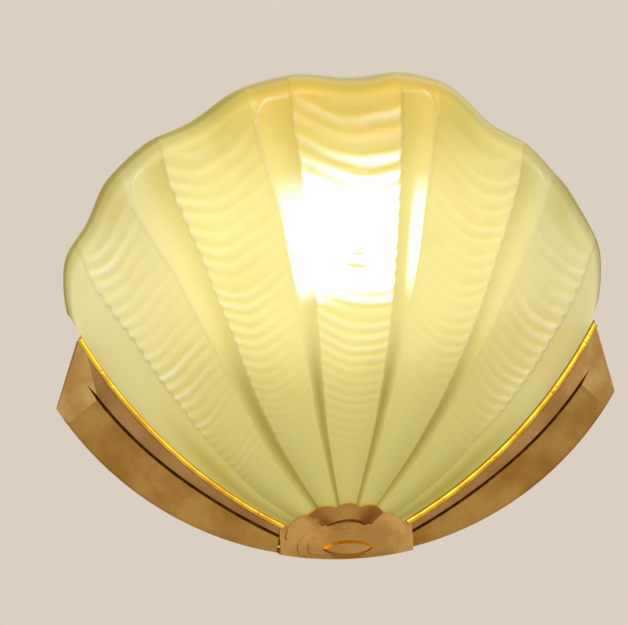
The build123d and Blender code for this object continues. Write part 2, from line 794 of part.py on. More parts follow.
cap_height, cap_floor, cap_rounding = 15.0, 2.0, 3.0
with BuildPart() as holder_cap:
    ring(0, cap_height, holder_radius, nipple_radius + 0.05)
    with BuildSketch(lamp_level(cap_floor)):
        Circle(holder_radius - holder_wall)
    extrude(amount=cap_height, mode=Mode.SUBTRACT)
    lowest = holder_cap.edges().filter_by(GeomType.CIRCLE).sort_by(SortBy.RADIUS)[-2:]
    fillet(lowest.sort_by(Axis.Z)[0], cap_rounding)
export(holder_cap, "holder_cap")

core_radius = holder_radius - holder_wall - 0.2
core_base, core_top = 6.0, 44.0
contact_z = 18.0  # where the lamp's tip meets the holder's contact
contact_height, contact_foot = 2.6, 0.5
socket_bore = 7.9
shell_inside = 7.15
terminal_screw_x, terminal_screw_radius = 6.5, 1.25
with BuildPart() as holder_core:
    ring(core_base, core_top, core_radius, 0)
    with BuildSketch(lamp_level(contact_z - contact_height)):
        Circle(socket_bore)
    extrude(amount=core_top, mode=Mode.SUBTRACT)
    with BuildSketch(lamp_level(core_base)):
        with Locations((terminal_screw_x, 0), (-terminal_screw_x, 0)):
            Circle(terminal_screw_radius + tap_clearance)
    extrude(amount=5, mode=Mode.SUBTRACT)
export(holder_core, "holder_core")

with BuildPart() as holder_sleeve:
    ring(cap_height + 0.3, holder_length, holder_radius, holder_radius - holder_wall)
    ring(core_top + gap, core_top + 1.5, holder_radius - 0.2, socket_bore + 0.6)
    mouth = holder_sleeve.edges().filter_by(GeomType.CIRCLE).sort_by(Axis.Z)[-1]
    fillet(mouth, 0.6)
export(holder_sleeve, "holder_sleeve")

with BuildPart() as holder_screw_shell:
    ring(contact_z - 1.0, core_top - 0.4, socket_bore - 0.1, shell_inside)
export(holder_screw_shell, "holder_screw_shell")

with BuildPart() as holder_contact:
    with BuildSketch(lamp_level(contact_z - contact_height)):
        Rectangle(9.0, 4.0)
    extrude(amount=contact_foot)
    with BuildSketch(lamp_level(contact_z - contact_height + contact_foot)):
        Rectangle(4.0, 3.6)
    extrude(amount=contact_height - contact_foot - 0.2, taper=15)
export(holder_contact, "holder_contact")

with BuildPart() as holder_terminal_screws:
    for side in (1, -1):
        with BuildSketch(lamp_level(core_base)):
            with Locations((side * terminal_screw_x, 0)):
                Circle(terminal_screw_radius)
        extrude(amount=4.6)
        with BuildSketch(lamp_level(core_base)):
            with Locations((side * terminal_screw_x, 0)):
                Circle(2.3)
                Rectangle(4.6, 0.6, mode=Mode.SUBTRACT)
        extrude(amount=-1.4)
export(holder_terminal_screws, "holder_terminal_screws")

# ---------------------------------------------------------------- lamp
neck_radius = 7.6
neck_level = core_top + 2.2


def globe_outline(inset, base):
    """Half outline of the lamp's glass: neck, flare and globe."""
    r = globe_radius - inset
    flare = radians(40)
    join = (r * cos(flare), globe_above_holder - r * sin(flare))
    Line((0, base), (neck_radius - inset, base))
    Line((neck_radius - inset, base), (neck_radius - inset, base + 2.0))
    Spline(
        (neck_radius - inset, base + 2.0),
        join,
        tangents=((0, 1), (sin(flare), cos(flare))),
    )
    ThreePointArc(join, (r * cos(0.4), globe_above_holder + r * sin(0.4)), (0, globe_above_holder + r))
    Line((0, globe_above_holder + r), (0, base))


lamp_section = Plane(holder_base, x_dir=(1, 0, 0), z_dir=Vector(1, 0, 0).cross(lamp_axis))
with BuildPart() as bulb_envelope:
    with BuildSketch(lamp_section):
        with BuildLine():
            globe_outline(0.0, neck_level)
        make_face()
    revolve(axis=Axis(holder_base, lamp_axis))
    with BuildSketch(lamp_section):
        with BuildLine():
            globe_outline(globe_wall, neck_level + 0.9)
        make_face()
    revolve(axis=Axis(holder_base, lamp_axis), mode=Mode.SUBTRACT)
export(bulb_envelope, "bulb_envelope")

with BuildPart() as bulb_cap:
    ring(contact_z + 4.0, core_top + 0.2, shell_inside - 0.25, 5.9)
    ring(core_top + 0.2, neck_level, neck_radius + 0.5, 5.9)
export(bulb_cap, "bulb_cap")

with BuildPart() as bulb_insulator:
    with BuildSketch(lamp_level(contact_z + 4.0)):
        Circle(shell_inside - 0.3)
    extrude(amount=-2.5, taper=40)
export(bulb_insulator, "bulb_insulator")

with BuildPart() as bulb_contact:
    ring(contact_z, contact_z + 1.5, 2.2, 0)
    fillet(bulb_contact.edges().group_by(Axis.Z)[0], 0.6)
export(bulb_contact, "bulb_contact")

# ---------------------------------------------------------------- terminals and earth
block_long, block_high, block_deep, block_pitch = 30.0, 17.0, 14.0, 9.5
block_base, block_corner, pole_width = 6.0, 2.0, 8.6
block_seat = 3.5  # the fixing screw's head lies on this much plastic
wire_bore = 1.6
clamp_screw_radius, clamp_screw_length, clamp_z = 1.5, 5.6, 5.0
clamp_places = [
    (terminal_x + pole * block_pitch, terminal_z + end * clamp_z)
    for pole in (-1, 0, 1)
    for end in (1, -1)
]
with BuildPart() as terminal_block:
    with BuildSketch(front(plate_thickness)):
        with Locations((terminal_x, terminal_z)):
            RectangleRounded(block_long, block_high, block_corner)
    extrude(amount=block_base)
    for pole in (-1, 0, 1):
        pole_x = terminal_x + pole * block_pitch
        with BuildSketch(front(plate_thickness + block_base)):
            with Locations((pole_x, terminal_z)):
                RectangleRounded(pole_width, block_high, block_corner)
        extrude(amount=block_deep - block_base)
        wire_depth = plate_thickness + block_deep / 2
        with Locations(Plane((pole_x, -wire_depth, terminal_z + block_high / 2))):
            Hole(wire_bore)
    with Locations(front(plate_thickness + block_deep)):
        with Locations(*clamp_places):
            Hole(clamp_screw_radius + 0.1, depth=block_deep / 2 - 0.5)
        with Locations((terminal_x, terminal_z)):
            Hole(3.2, depth=block_deep - block_seat)
            Hole(small_screw_radius + 0.1)
export(terminal_block, "terminal_block")

with BuildPart() as terminal_clamp_screws:
    for place in clamp_places:
        with BuildSketch(front(plate_thickness + block_deep / 2 + 0.7)):
            with Locations(place):
                Circle(clamp_screw_radius)
        extrude(amount=clamp_screw_length)
export(terminal_clamp_screws, "terminal_clamp_screws")

with BuildPart() as terminal_fixing_screw:
    pan_screws(
        [(terminal_x, terminal_z)],
        plate_thickness + block_seat,
        radius=small_screw_radius - 0.05,
        head=(2.9, 1.8),
    )
export(terminal_fixing_screw, "terminal_fixing_screw")

earth_washer_height = 1.0
with BuildPart() as earth_washer:
    with BuildSketch(front(plate_thickness)):
        with Locations((earth_x, earth_z)):
            Circle(5.0)
            Circle(small_screw_radius + 0.15, mode=Mode.SUBTRACT)
    extrude(amount=earth_washer_height)
export(earth_washer, "earth_washer")

with BuildPart() as earth_screw:
    pan_screws([(earth_x, earth_z)], plate_thickness + earth_washer_height)
export(earth_screw, "earth_screw")
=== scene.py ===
"""Looks of the shell wall light: pressed glass in a gilt cradle, with its lampholder and fixings.

Millimetres are used for every size and turned to metres where a mesh is made. X runs to the right,
Z up, and the light faces -Y, with its flat back in the plane Y = 0.
"""

import logging
from dataclasses import dataclass, field
from enum import Enum
from math import acos, atan2, cos, degrees, hypot, pi, radians, sin
from typing import Callable, Optional, Sequence, Union

import bmesh
import bpy
import numpy as np
from mathutils import Matrix, Vector


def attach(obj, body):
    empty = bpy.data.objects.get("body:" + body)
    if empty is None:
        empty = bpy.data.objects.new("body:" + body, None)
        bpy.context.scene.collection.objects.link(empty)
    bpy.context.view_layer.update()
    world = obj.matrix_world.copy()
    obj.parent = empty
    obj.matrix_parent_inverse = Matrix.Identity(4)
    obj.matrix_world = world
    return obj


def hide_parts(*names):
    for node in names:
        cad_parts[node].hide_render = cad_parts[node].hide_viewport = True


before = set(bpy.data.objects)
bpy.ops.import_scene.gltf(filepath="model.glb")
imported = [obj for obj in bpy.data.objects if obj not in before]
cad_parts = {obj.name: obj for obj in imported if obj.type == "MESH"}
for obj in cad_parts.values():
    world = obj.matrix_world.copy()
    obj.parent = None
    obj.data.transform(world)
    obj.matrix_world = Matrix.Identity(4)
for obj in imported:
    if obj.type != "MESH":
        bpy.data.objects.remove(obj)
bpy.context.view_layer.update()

MM = 0.001
log = logging.getLogger("shell_wall_light")

Tree = bpy.types.NodeTree
Socket = bpy.types.NodeSocket
Piece = bpy.types.Object
Colour = tuple[float, float, float, float]
Value = Union[float, int, tuple, str, Socket, bpy.types.Node]


# ------------------------------------------------------------------ small tools
def linear(code: str) -> Colour:
    """Turns an sRGB hex colour to linear light.

    Args:
        code: Six hex digits, with or without a leading hash.

    Returns:
        Red, green, blue and an alpha of 1.
    """
    parts = [int(code.lstrip("#")[i : i + 2], 16) / 255 for i in (0, 2, 4)]
    light = [c / 12.92 if c <= 0.04045 else ((c + 0.055) / 1.055) ** 2.4 for c in parts]
    return (light[0], light[1], light[2], 1.0)


def metres(sizes: Sequence[float]) -> list[float]:
    """Turns sizes in millimetres to metres."""
    return [size * MM for size in sizes]


class Step(Enum):
    """Kinds of node that are used often, each with its settings."""

    ADD = ("ShaderNodeMath", {"operation": "ADD"})
    SUBTRACT = ("ShaderNodeMath", {"operation": "SUBTRACT"})
    MULTIPLY = ("ShaderNodeMath", {"operation": "MULTIPLY"})
    MULTIPLY_ADD = ("ShaderNodeMath", {"operation": "MULTIPLY_ADD"})
    POWER = ("ShaderNodeMath", {"operation": "POWER"})
    ABSOLUTE = ("ShaderNodeMath", {"operation": "ABSOLUTE"})
    MAXIMUM = ("ShaderNodeMath", {"operation": "MAXIMUM"})
    FLOOR = ("ShaderNodeMath", {"operation": "FLOOR"})
    FRACT = ("ShaderNodeMath", {"operation": "FRACT"})
    SINE = ("ShaderNodeMath", {"operation": "SINE"})
    BLEND = ("ShaderNodeMix", {"data_type": "RGBA", "clamp_factor": True})
    RANGE = ("ShaderNodeMapRange", {"interpolation_type": "SMOOTHSTEP"})


def add(
    tree: Tree, kind: Union[str, Step], *values: Union[Value, dict], **settings: object
) -> bpy.types.Node:
    """Adds a node to a tree, with its settings and links.

    Args:
        tree: The shader or geometry tree.
        kind: The node's type name, or the step that stands for it.
        values: What goes into the inputs that the node shows, in order, or one dictionary of it by
            the inputs' names or numbers. A node given there stands for its first output.
        settings: The node's own properties.

    Returns:
        The node.
    """
    if isinstance(kind, Step):
        kind, settings = kind.value[0], {**kind.value[1], **settings}
    made = tree.nodes.new(kind)
    for name, setting in settings.items():
        setattr(made, name, setting)
    if values and isinstance(values[0], dict):
        given = [(made.inputs[key], value) for key, value in values[0].items()]
    else:
        given = list(zip([socket for socket in made.inputs if socket.enabled], values))
    for socket, value in given:
        if isinstance(value, bpy.types.Node):
            value = next(output for output in value.outputs if output.enabled)
        if isinstance(value, Socket):
            tree.links.new(value, socket)
        else:
            socket.default_value = value
    return made


def ease(t: np.ndarray) -> np.ndarray:
    """Smooth step from 0 to 1."""
    t = np.clip(t, 0.0, 1.0)
    return t * t * (3 - 2 * t)


# ------------------------------------------------------------------ finishes
class Make(Enum):
    """How a metal surface was made."""

    CAST = "cast and gilt by hand"
    DRAWN = "drawn or spun, then polished"
    SHEET = "rolled sheet, plated"
    TURNED = "turned"

    @property
    def grain_stretch(self) -> float:
        """How many times longer than wide the grain is."""
        return {Make.SHEET: 14, Make.DRAWN: 6, Make.TURNED: 9}.get(self, 1)


@dataclass(frozen=True)
class Finish:
    """A finish and the shader tree that draws it."""

    name: str

    def start(self) -> tuple[bpy.types.Material, Tree, Socket]:
        """Makes the empty material.

        Returns:
            The material, its tree and the object coordinates.
        """
        material = bpy.data.materials.new(self.name)
        material.use_nodes = True
        tree = material.node_tree
        tree.nodes.clear()
        return material, tree, add(tree, "ShaderNodeTexCoord").outputs["Object"]

    def grain(
        self, tree: Tree, place: Socket, size_mm: float, detail: float = 3.0, stretch: tuple = (1, 1, 1)
    ) -> bpy.types.Node:
        """Draws an uneven pattern whose lumps have a real size.

        Args:
            tree: The shader tree.
            place: The coordinates.
            size_mm: Width of a lump.
            detail: Octaves of finer lumps.
            stretch: Scale along each axis.

        Returns:
            The pattern's node.
        """
        turned = add(tree, "ShaderNodeMapping", {0: place, 3: stretch})
        inputs = {"Vector": turned, "Scale": 1 / (size_mm * MM), "Detail": detail}
        return add(tree, "ShaderNodeTexNoise", inputs)

    def close(
        self, tree: Tree, inputs: dict, height: Optional[bpy.types.Node] = None, depth_mm: float = 0.0
    ) -> None:
        """Ends the tree with the main shader, on a relief of a real depth.

        Args:
            tree: The shader tree.
            inputs: What goes into the main shader.
            height: The relief, from 0 to 1, where there is one.
            depth_mm: The relief's depth.
        """
        if height:
            relief = {"Strength": 1.0, "Distance": depth_mm * MM, "Height": height}
            inputs["Normal"] = add(tree, "ShaderNodeBump", relief)
        shader = add(tree, "ShaderNodeBsdfPrincipled", inputs)
        add(tree, "ShaderNodeOutputMaterial", {"Surface": shader})

    def make(self) -> bpy.types.Material:
        """Builds the material."""
        raise NotImplementedError


@dataclass(frozen=True)
class MetalFinish(Finish):
    """A metal with uneven colour, fine grain and the marks of how it was made."""

    colour: str
    shade: str
    roughness: float
    making: Make
    blotch_mm: float = 22.0
    grain_mm: float = 0.8
    depth_mm: float = 0.03
    metallic: float = 1.0

    def make(self) -> bpy.types.Material:
        """Builds the material.

        Returns:
            The material.
        """
        material, tree, place = self.start()
        light, dark = linear(self.colour), linear(self.shade)
        wide = self.grain(tree, place, self.blotch_mm, 4.0)
        fine = self.grain(tree, place, self.grain_mm, 5.0, (1, 1, self.making.grain_stretch))
        colour = add(tree, Step.BLEND, add(tree, Step.RANGE, wide, 0.36, 0.66), dark, light)
        worn = add(tree, Step.RANGE, fine, 0.35, 0.75, 0.0, 0.25)
        inputs = {
            "Base Color": add(tree, Step.BLEND, worn, colour, dark),
            "Roughness": add(tree, Step.MULTIPLY_ADD, fine, 0.16, self.roughness - 0.08, use_clamp=True),
            "Metallic": self.metallic,
            "Specular Tint": light,
        }
        height = add(tree, Step.ADD, fine, add(tree, Step.MULTIPLY, wide, 2.0))
        self.close(tree, inputs, height, self.depth_mm)
        return material


@dataclass(frozen=True)
class MouldedFinish(Finish):
    """A moulded, glazed or woven material that isn't metal."""

    colour: str
    shade: str
    roughness: float
    grain_mm: float = 0.6
    depth_mm: float = 0.02
    coat: float = 0.0
    sheen: float = 0.0

    def make(self) -> bpy.types.Material:
        """Builds the material.

        Returns:
            The material.
        """
        material, tree, place = self.start()
        fine = self.grain(tree, place, self.grain_mm, 4.0)
        wide = self.grain(tree, place, self.grain_mm * 14, 2.0)
        part = add(tree, Step.MULTIPLY, fine, 0.4)
        tone = add(tree, Step.MULTIPLY_ADD, wide, 0.6, part, use_clamp=True)
        tone = add(tree, Step.RANGE, tone, 0.35, 0.65)
        inputs = {
            "Base Color": add(tree, Step.BLEND, tone, linear(self.shade), linear(self.colour)),
            "Roughness": add(tree, Step.MULTIPLY_ADD, fine, 0.2, self.roughness - 0.1, use_clamp=True),
            "Coat Weight": self.coat,
            "Sheen Weight": self.sheen,
        }
        self.close(tree, inputs, fine, self.depth_mm)
        return material


@dataclass(frozen=True)
class PressedGlassFinish(Finish):
    """Pressed glass, acid-frosted and stained amber yellow; the lamp's light through it is painted on as a
    glow.

    The stain is pale at the sides and amber at the crown, with painted olive shade in the sunk valleys
    near the hub. The lamp's glare is painted white in the middle of the shell, and the painted glow is
    brighter on the side of each ripple that faces up and left. Each ripple has a painted highlight on its
    swell and painted shade in its trough, the flutes' edges carry thin painted highlight lines, and the
    rolled rim has painted shade.
    """

    low: str = "D6CC72"
    middle: str = "F4E688"
    amber: str = "E9C44C"
    pale: str = "E3D998"
    # Painted shade: olive in the sunk valleys near the hub.
    valley: str = "A89A34"
    shade: str = "CDB94A"
    # Painted highlight: thin bright lines along the flutes' edges and the ridges' shoulders.
    crest: str = "FBF6D0"
    # Painted highlight on each ripple's swell.
    ripple: str = "FFFBD0"
    # Painted shade in each ripple's trough.
    trough_shade: str = "E2CC66"
    # Painted shade along the rolled rim.
    rim: str = "B4A440"
    halo: str = "FFF6B4"
    body: float = 0.44
    frost_mm: float = 0.5
    frost_depth_mm: float = 0.05
    streak_mm: float = 9.0
    cloud_mm: float = 34.0
    low_heights: tuple = (-70.0, 35.0)
    pale_sides: tuple = (60.0, 120.0)
    crown_heights: tuple = (70.0, 140.0)
    crown_sides: tuple = (74.0, 34.0)
    # Painted light: the glow is brighter on faces turned towards this direction, over this range.
    lit_from: tuple = (-0.12, -0.50, 0.86)
    lit_range: tuple = (0.76, 1.13)
    glow_range: tuple = (0.53, 0.63)
    glare_x: float = -3.0
    glare_z: float = 50.0
    glare_wide: float = 56.0
    glare_high: float = 25.0
    masks: tuple = ("swell", "trough", "shade", "valley", "crest", "edge", "glare")

    def stain(self, tree: Tree, place: Socket, streak: bpy.types.Node, masks: dict) -> bpy.types.Node:
        """Colours the glass.

        Args:
            tree: The shader tree.
            place: The object coordinates.
            streak: The pattern of the brushed stain.
            masks: The shell's own masks, by name.

        Returns:
            The stain's colour.
        """
        axes = add(tree, "ShaderNodeSeparateXYZ", place).outputs
        side, height = add(tree, Step.ABSOLUTE, axes["X"]), axes["Z"]
        cloud = self.grain(tree, place, self.cloud_mm)
        low = add(tree, Step.RANGE, height, *metres(self.low_heights))
        high = add(tree, Step.RANGE, height, *metres(self.crown_heights))
        inward = add(tree, Step.RANGE, side, *metres(self.crown_sides))
        layers = (
            (add(tree, Step.RANGE, side, *metres(self.pale_sides)), 1.0, self.pale),
            (add(tree, Step.MULTIPLY, high, inward), 1.0, self.amber),
            (add(tree, Step.RANGE, cloud, 0.48, 0.72), 0.22, self.amber),
            (add(tree, Step.RANGE, streak, 0.52, 0.75), 0.14, self.pale),
            (masks["shade"], 0.50, self.shade),
            # Painted shade in the valleys near the hub.
            (masks["valley"], 1.0, self.valley),
            # Painted shade in the ripples' troughs and painted highlight on their swells.
            (add(tree, Step.POWER, masks["trough"], 1.3), 0.62, self.trough_shade),
            (add(tree, Step.POWER, masks["swell"], 2.0), 0.85, self.ripple),
            # Painted highlight lines along the edges.
            (masks["crest"], 0.62, self.crest),
            # Painted shade along the rolled rim.
            (masks["edge"], 0.85, self.rim),
        )
        colour = add(tree, Step.BLEND, low, linear(self.low), linear(self.middle))
        for shown, most, code in layers:
            factor = add(tree, Step.MULTIPLY, shown, most) if most < 1 else shown
            colour = add(tree, Step.BLEND, factor, colour, linear(code))
        return colour

    def glow(
        self, tree: Tree, place: Socket, streak: bpy.types.Node, masks: dict, stain: bpy.types.Node
    ) -> bpy.types.Node:
        """Paints the lamp's light through the stain as a glow, with the lamp's halo and its white glare.

        Args:
            tree: The shader tree.
            place: The object coordinates.
            streak: The pattern of the brushed stain.
            masks: The shell's own masks, by name.
            stain: The stain's colour.

        Returns:
            The colour of the light that comes through.
        """
        normal = add(tree, "ShaderNodeNewGeometry").outputs["Normal"]
        facing = add(tree, "ShaderNodeVectorMath", {0: normal, 1: self.lit_from}, operation="DOT_PRODUCT")
        # Painted light and shade: the glow is scaled by how far the face turns towards lit_from.
        relief = add(tree, Step.RANGE, facing, -0.35, 0.95, *self.lit_range)
        where = {
            0: place,
            1: (-self.glare_x / self.glare_wide, 0, -self.glare_z / self.glare_high),
            3: (1 / (self.glare_wide * MM), 0, 1 / (self.glare_high * MM)),
        }
        centred = add(tree, "ShaderNodeMapping", where)
        far = add(tree, "ShaderNodeVectorMath", {0: centred}, operation="LENGTH")
        far = add(tree, Step.ADD, far, add(tree, Step.MULTIPLY_ADD, streak, 0.3, -0.15))
        # Painted highlight on the swells and painted shade in the troughs also shape the white glare.
        white = add(tree, Step.MULTIPLY_ADD, masks["swell"], 0.30, masks["glare"])
        white = add(tree, Step.MULTIPLY_ADD, masks["trough"], -0.42, white)
        inside = add(tree, Step.RANGE, masks["glare"], 0.02, 0.20)
        white = add(tree, Step.MULTIPLY, add(tree, Step.RANGE, white, 0.15, 0.80), inside)
        near = add(tree, Step.RANGE, far, 3.4, 0.7)
        strength = add(tree, Step.RANGE, near, 0.0, 1.0, *self.glow_range)
        strength = add(tree, Step.MULTIPLY, strength, relief)
        # Painted shade: the glow is dimmer along the rolled rim.
        thin = add(tree, Step.MULTIPLY_ADD, masks["edge"], -0.42, 1.0)
        strength = add(tree, Step.MULTIPLY, strength, thin)
        lit = add(tree, Step.BLEND, strength, (0, 0, 0, 1), stain)
        halo = add(tree, Step.MULTIPLY, add(tree, Step.RANGE, far, 2.6, 1.0), 0.25)
        lit = add(tree, Step.BLEND, halo, lit, linear(self.halo))
        return add(tree, Step.BLEND, white, lit, (1, 1, 1, 1))

    def make(self) -> bpy.types.Material:
        """Builds the material.

        Returns:
            The material.
        """
        material, tree, place = self.start()
        masks = {}
        for name in self.masks:
            masks[name] = add(tree, "ShaderNodeAttribute", attribute_name=name).outputs["Fac"]
        frost = self.grain(tree, place, self.frost_mm, 4.0)
        streak = self.grain(tree, place, self.streak_mm)
        stain = self.stain(tree, place, streak, masks)
        body = (self.body, self.body, self.body, 1)
        inputs = {
            "Base Color": add(tree, Step.BLEND, 1.0, stain, body, blend_type="MULTIPLY"),
            # Painted light: the lamp's light through the glass is drawn as its emission.
            "Emission Color": self.glow(tree, place, streak, masks, stain),
            "Emission Strength": 1.0,
            "Roughness": add(tree, Step.MULTIPLY_ADD, frost, 0.2, 0.30),
            "Specular IOR Level": add(tree, Step.MULTIPLY_ADD, masks["edge"], -0.4, 0.5),
            "IOR": 1.5,
        }
        self.close(tree, inputs, frost, self.frost_depth_mm)
        return material


@dataclass(frozen=True)
class LitOpalFinish(Finish):
    """Opal glass of a lit lamp: even and bright, a little warmer at the neck."""

    glow: str = "FFF0D0"
    neck: str = "E2B468"
    neck_heights: tuple = (30.0, 52.0)
    mottle_mm: float = 6.0
    strength: float = 0.72

    def make(self) -> bpy.types.Material:
        """Builds the material.

        Returns:
            The material.
        """
        material, tree, place = self.start()
        glow, neck = linear(self.glow), linear(self.neck)
        height = add(tree, "ShaderNodeSeparateXYZ", place).outputs["Z"]
        mottle = self.grain(tree, place, self.mottle_mm, 2.0)
        above = add(tree, Step.RANGE, height, *metres(self.neck_heights))
        lit = add(tree, Step.BLEND, above, neck, glow)
        lit = add(tree, Step.BLEND, add(tree, Step.MULTIPLY, mottle, 0.15), lit, neck)
        inputs = {
            "Base Color": lit,
            "Emission Color": lit,
            "Emission Strength": self.strength,
            "Roughness": add(tree, Step.MULTIPLY_ADD, mottle, 0.1, 0.12),
        }
        self.close(tree, inputs)
        return material


# Warm tan gilding with broad darker clouds and a soft cast grain, on the arms' sloping panels.
GILT = MetalFinish("gilt_brass_casting", "CEA65B", "B28440", 0.46, Make.CAST, 24.0, 1.4, 0.04)
# The same gilding a little redder and smoother, on the shell motif in the middle.
GILT_BOSS = MetalFinish("gilt_brass_boss_casting", "CCA05A", "B28648", 0.42, Make.CAST, 16.0, 1.2, 0.04)
# Paler copy of the gilding on the mitred ends of the arms: a painted highlight where they face the light.
GILT_END_HIGHLIGHT = MetalFinish("gilt_brass_end_facet", "EECA80", "D0A45E", 0.46, Make.CAST, 18.0, 1.2, 0.04)
# Browner gilding along the flat rim beside the glass.
GILT_BAND = MetalFinish("gilt_brass_burnished_rim", "BA9058", "9E7642", 0.46, Make.CAST, 30.0, 1.0, 0.03)
# Pale gold on the rounded corners: wear where handling has taken the toning away, and a painted highlight
# along each edge.
GILT_EDGE = MetalFinish("gilt_brass_worn_edge", "E2BC74", "BE8E44", 0.30, Make.CAST, 8.0, 0.8, 0.02)
# Dull brown in the groove below the rim: painted shade in the groove.
GROOVE = MetalFinish("gilt_brass_toned_groove", "A87838", "7A5222", 0.6, Make.CAST, 6.0, 0.9, 0.08)
# Bright yellow polish with fine lines along its length; its strong yellow is partly a painted reflection of
# the lit glass.
BRIGHT = MetalFinish("polished_brass_strip", "FFDC48", "E6B030", 0.34, Make.DRAWN, 9.0, 0.8, 0.02)
# Golden lacquer with the faint rings of spinning.
LACQUERED = MetalFinish("lacquered_brass_spinning", "C9A04E", "A67C32", 0.25, Make.TURNED, 18.0, 0.5, 0.02)
# Grey plating with cloudy patches and the rolling lines of sheet.
ZINC = MetalFinish("zinc_plated_sheet", "BDBAB0", "ABA79B", 0.44, Make.SHEET, 26.0, 0.7, 0.02)
# Slightly yellow bright plating of bought screws.
SCREW = MetalFinish("zinc_plated_screw", "C9C4B0", "A09A84", 0.32, Make.TURNED, 5.0, 0.4, 0.01)
# Cool, soft grey of bare aluminium.
RIVET = MetalFinish("aluminium_rivet", "C6C8CA", "A4A6A8", 0.38, Make.DRAWN, 5.0, 0.4, 0.01)
# Warm silver shine of a pressed lamp cap.
NICKEL = MetalFinish("nickel_plated_lamp_cap", "C6C2B8", "A29D90", 0.28, Make.DRAWN, 8.0, 0.4, 0.01)
# Dull, lumpy grey of a solder blob.
SOLDER = MetalFinish("tin_solder", "A9A9AC", "85858A", 0.4, Make.CAST, 2.0, 0.5, 0.03)
# Creamy white under a clear glaze.
PORCELAIN = MouldedFinish("glazed_porcelain", "E4E0D4", "D6D0C0", 0.22, 0.5, 0.01, coat=0.4)
# Deep, glossy black glass between the cap and its contact.
VITRITE = MouldedFinish("black_vitrite_glass", "1C1C22", "121216", 0.15, 0.4, 0.01, coat=0.5)
# Soft matt black.
RUBBER = MouldedFinish("black_rubber_grommet", "232322", "181817", 0.62, 0.4, 0.02)
# Off-white, half matt moulding.
PLASTIC = MouldedFinish("white_moulded_terminal_block", "DEDCD2", "CFCCC0", 0.45, 0.6, 0.02)
# Brown, fibrous felt with a soft bloom at its edges.
FELT = MouldedFinish("brown_wool_felt", "5A4634", "3C2D20", 0.95, 0.35, 0.12, sheen=0.5)
# Frosted lemon and amber glass, with the lamp's light through it painted on as a glow.
GLASS = PressedGlassFinish("pressed_amber_stained_glass")
# Even, warm white of a lit opal lamp.
OPAL = LitOpalFinish("lit_opal_glass")
# Plain pale ground with hardly any grain.
FLOOR = MouldedFinish("pale_matt_floor", "D9D3CB", "D5CFC7", 0.8, 40.0, 0.0)


class Wardrobe:
    """Makes each finish once and hands it out."""

    def __init__(self) -> None:
        """Starts with nothing made."""
        self.made: dict[str, bpy.types.Material] = {}

    def material(self, finish: Finish) -> bpy.types.Material:
        """Returns the finish's material, made on first use."""
        if finish.name not in self.made:
            self.made[finish.name] = finish.make()
        return self.made[finish.name]

    def dress(self, piece: Piece, finish: Finish) -> None:
        """Gives every face of a piece one finish.

        Args:
            piece: The piece.
            finish: Its finish.
        """
        piece.data.materials.clear()
        piece.data.materials.append(self.material(finish))
        piece.data.polygons.foreach_set("material_index", [0] * len(piece.data.polygons))


wardrobe = Wardrobe()


# ------------------------------------------------------------------ meshes
def piece_from(name: str, points: np.ndarray, faces: Sequence, smooth: bool = True) -> Piece:
    """Makes an object at the origin from points in millimetres.

    Args:
        name: The piece's name.
        points: One row for each vertex, in millimetres.
        faces: Vertex numbers of each face.
        smooth: Whether its faces are shaded smooth.

    Returns:
        The object.
    """
    mesh = bpy.data.meshes.new(name)
    corners = [tuple(point) for point in np.asarray(points) * MM]
    mesh.from_pydata(corners, [], [tuple(int(i) for i in face) for face in faces])
    mesh.validate()
    mesh.polygons.foreach_set("use_smooth", [smooth] * len(mesh.polygons))
    made = bpy.data.objects.new(name, mesh)
    bpy.context.scene.collection.objects.link(made)
    return made


def turn_outward(piece: Piece) -> None:
    """Merges doubled points and points every face outward.

    Args:
        piece: The piece.
    """
    shape = bmesh.new()
    shape.from_mesh(piece.data)
    bmesh.ops.remove_doubles(shape, verts=shape.verts, dist=1e-6)
    bmesh.ops.recalc_face_normals(shape, faces=shape.faces)
    shape.to_mesh(piece.data)
    shape.free()


def grid_faces(rows: int, columns: int, start: int = 0, closed: bool = False, flip: bool = False) -> list:
    """Quads of a grid of points.

    Args:
        rows: Number of rows of points.
        columns: Points in a row.
        start: Number of the first point.
        closed: Whether the last column joins the first.
        flip: Whether the faces turn the other way.

    Returns:
        Vertex numbers of each face.
    """
    made = []
    for j in range(rows - 1):
        for i in range(columns if closed else columns - 1):
            a, b = start + j * columns + i, start + j * columns + (i + 1) % columns
            quad = (a, b, b + columns, a + columns)
            made.append(quad[::-1] if flip else quad)
    return made


def settle(piece: Piece) -> None:
    """Applies every modifier of a piece and removes them.

    Args:
        piece: The piece.
    """
    graph = bpy.context.evaluated_depsgraph_get()
    mesh = bpy.data.meshes.new_from_object(piece.evaluated_get(graph), depsgraph=graph)
    old = piece.data
    piece.modifiers.clear()
    piece.data = mesh
    mesh.name = piece.name
    bpy.data.meshes.remove(old)


def shade_by_angle(piece: Piece, angle: float = 35.0) -> None:
    """Shades smooth, with sharp edges where faces meet at more than an angle in degrees.

    Args:
        piece: The piece.
        angle: The angle from which an edge is sharp.
    """
    mesh = piece.data
    mesh.polygons.foreach_set("use_smooth", [True] * len(mesh.polygons))
    mesh.set_sharp_from_angle(angle=radians(angle))


def finish_piece(piece: Piece, body: str, finish: Finish, slot: str, *nodes: str) -> Piece:
    """Dresses a piece, puts it on its body and hides the nodes that it replaces.

    Args:
        piece: The finished mesh object.
        body: Name of the body that it moves with.
        finish: Its finish.
        slot: Name of a material slot; it is not used.
        nodes: Names of the nodes that it replaces.

    Returns:
        The piece.
    """
    if len(piece.data.materials) < 2:
        wardrobe.dress(piece, finish)
    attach(piece, body)
    if nodes:
        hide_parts(*nodes)
    log.info("%s: %d faces, %s", piece.name, len(piece.data.polygons), finish.name)
    return piece


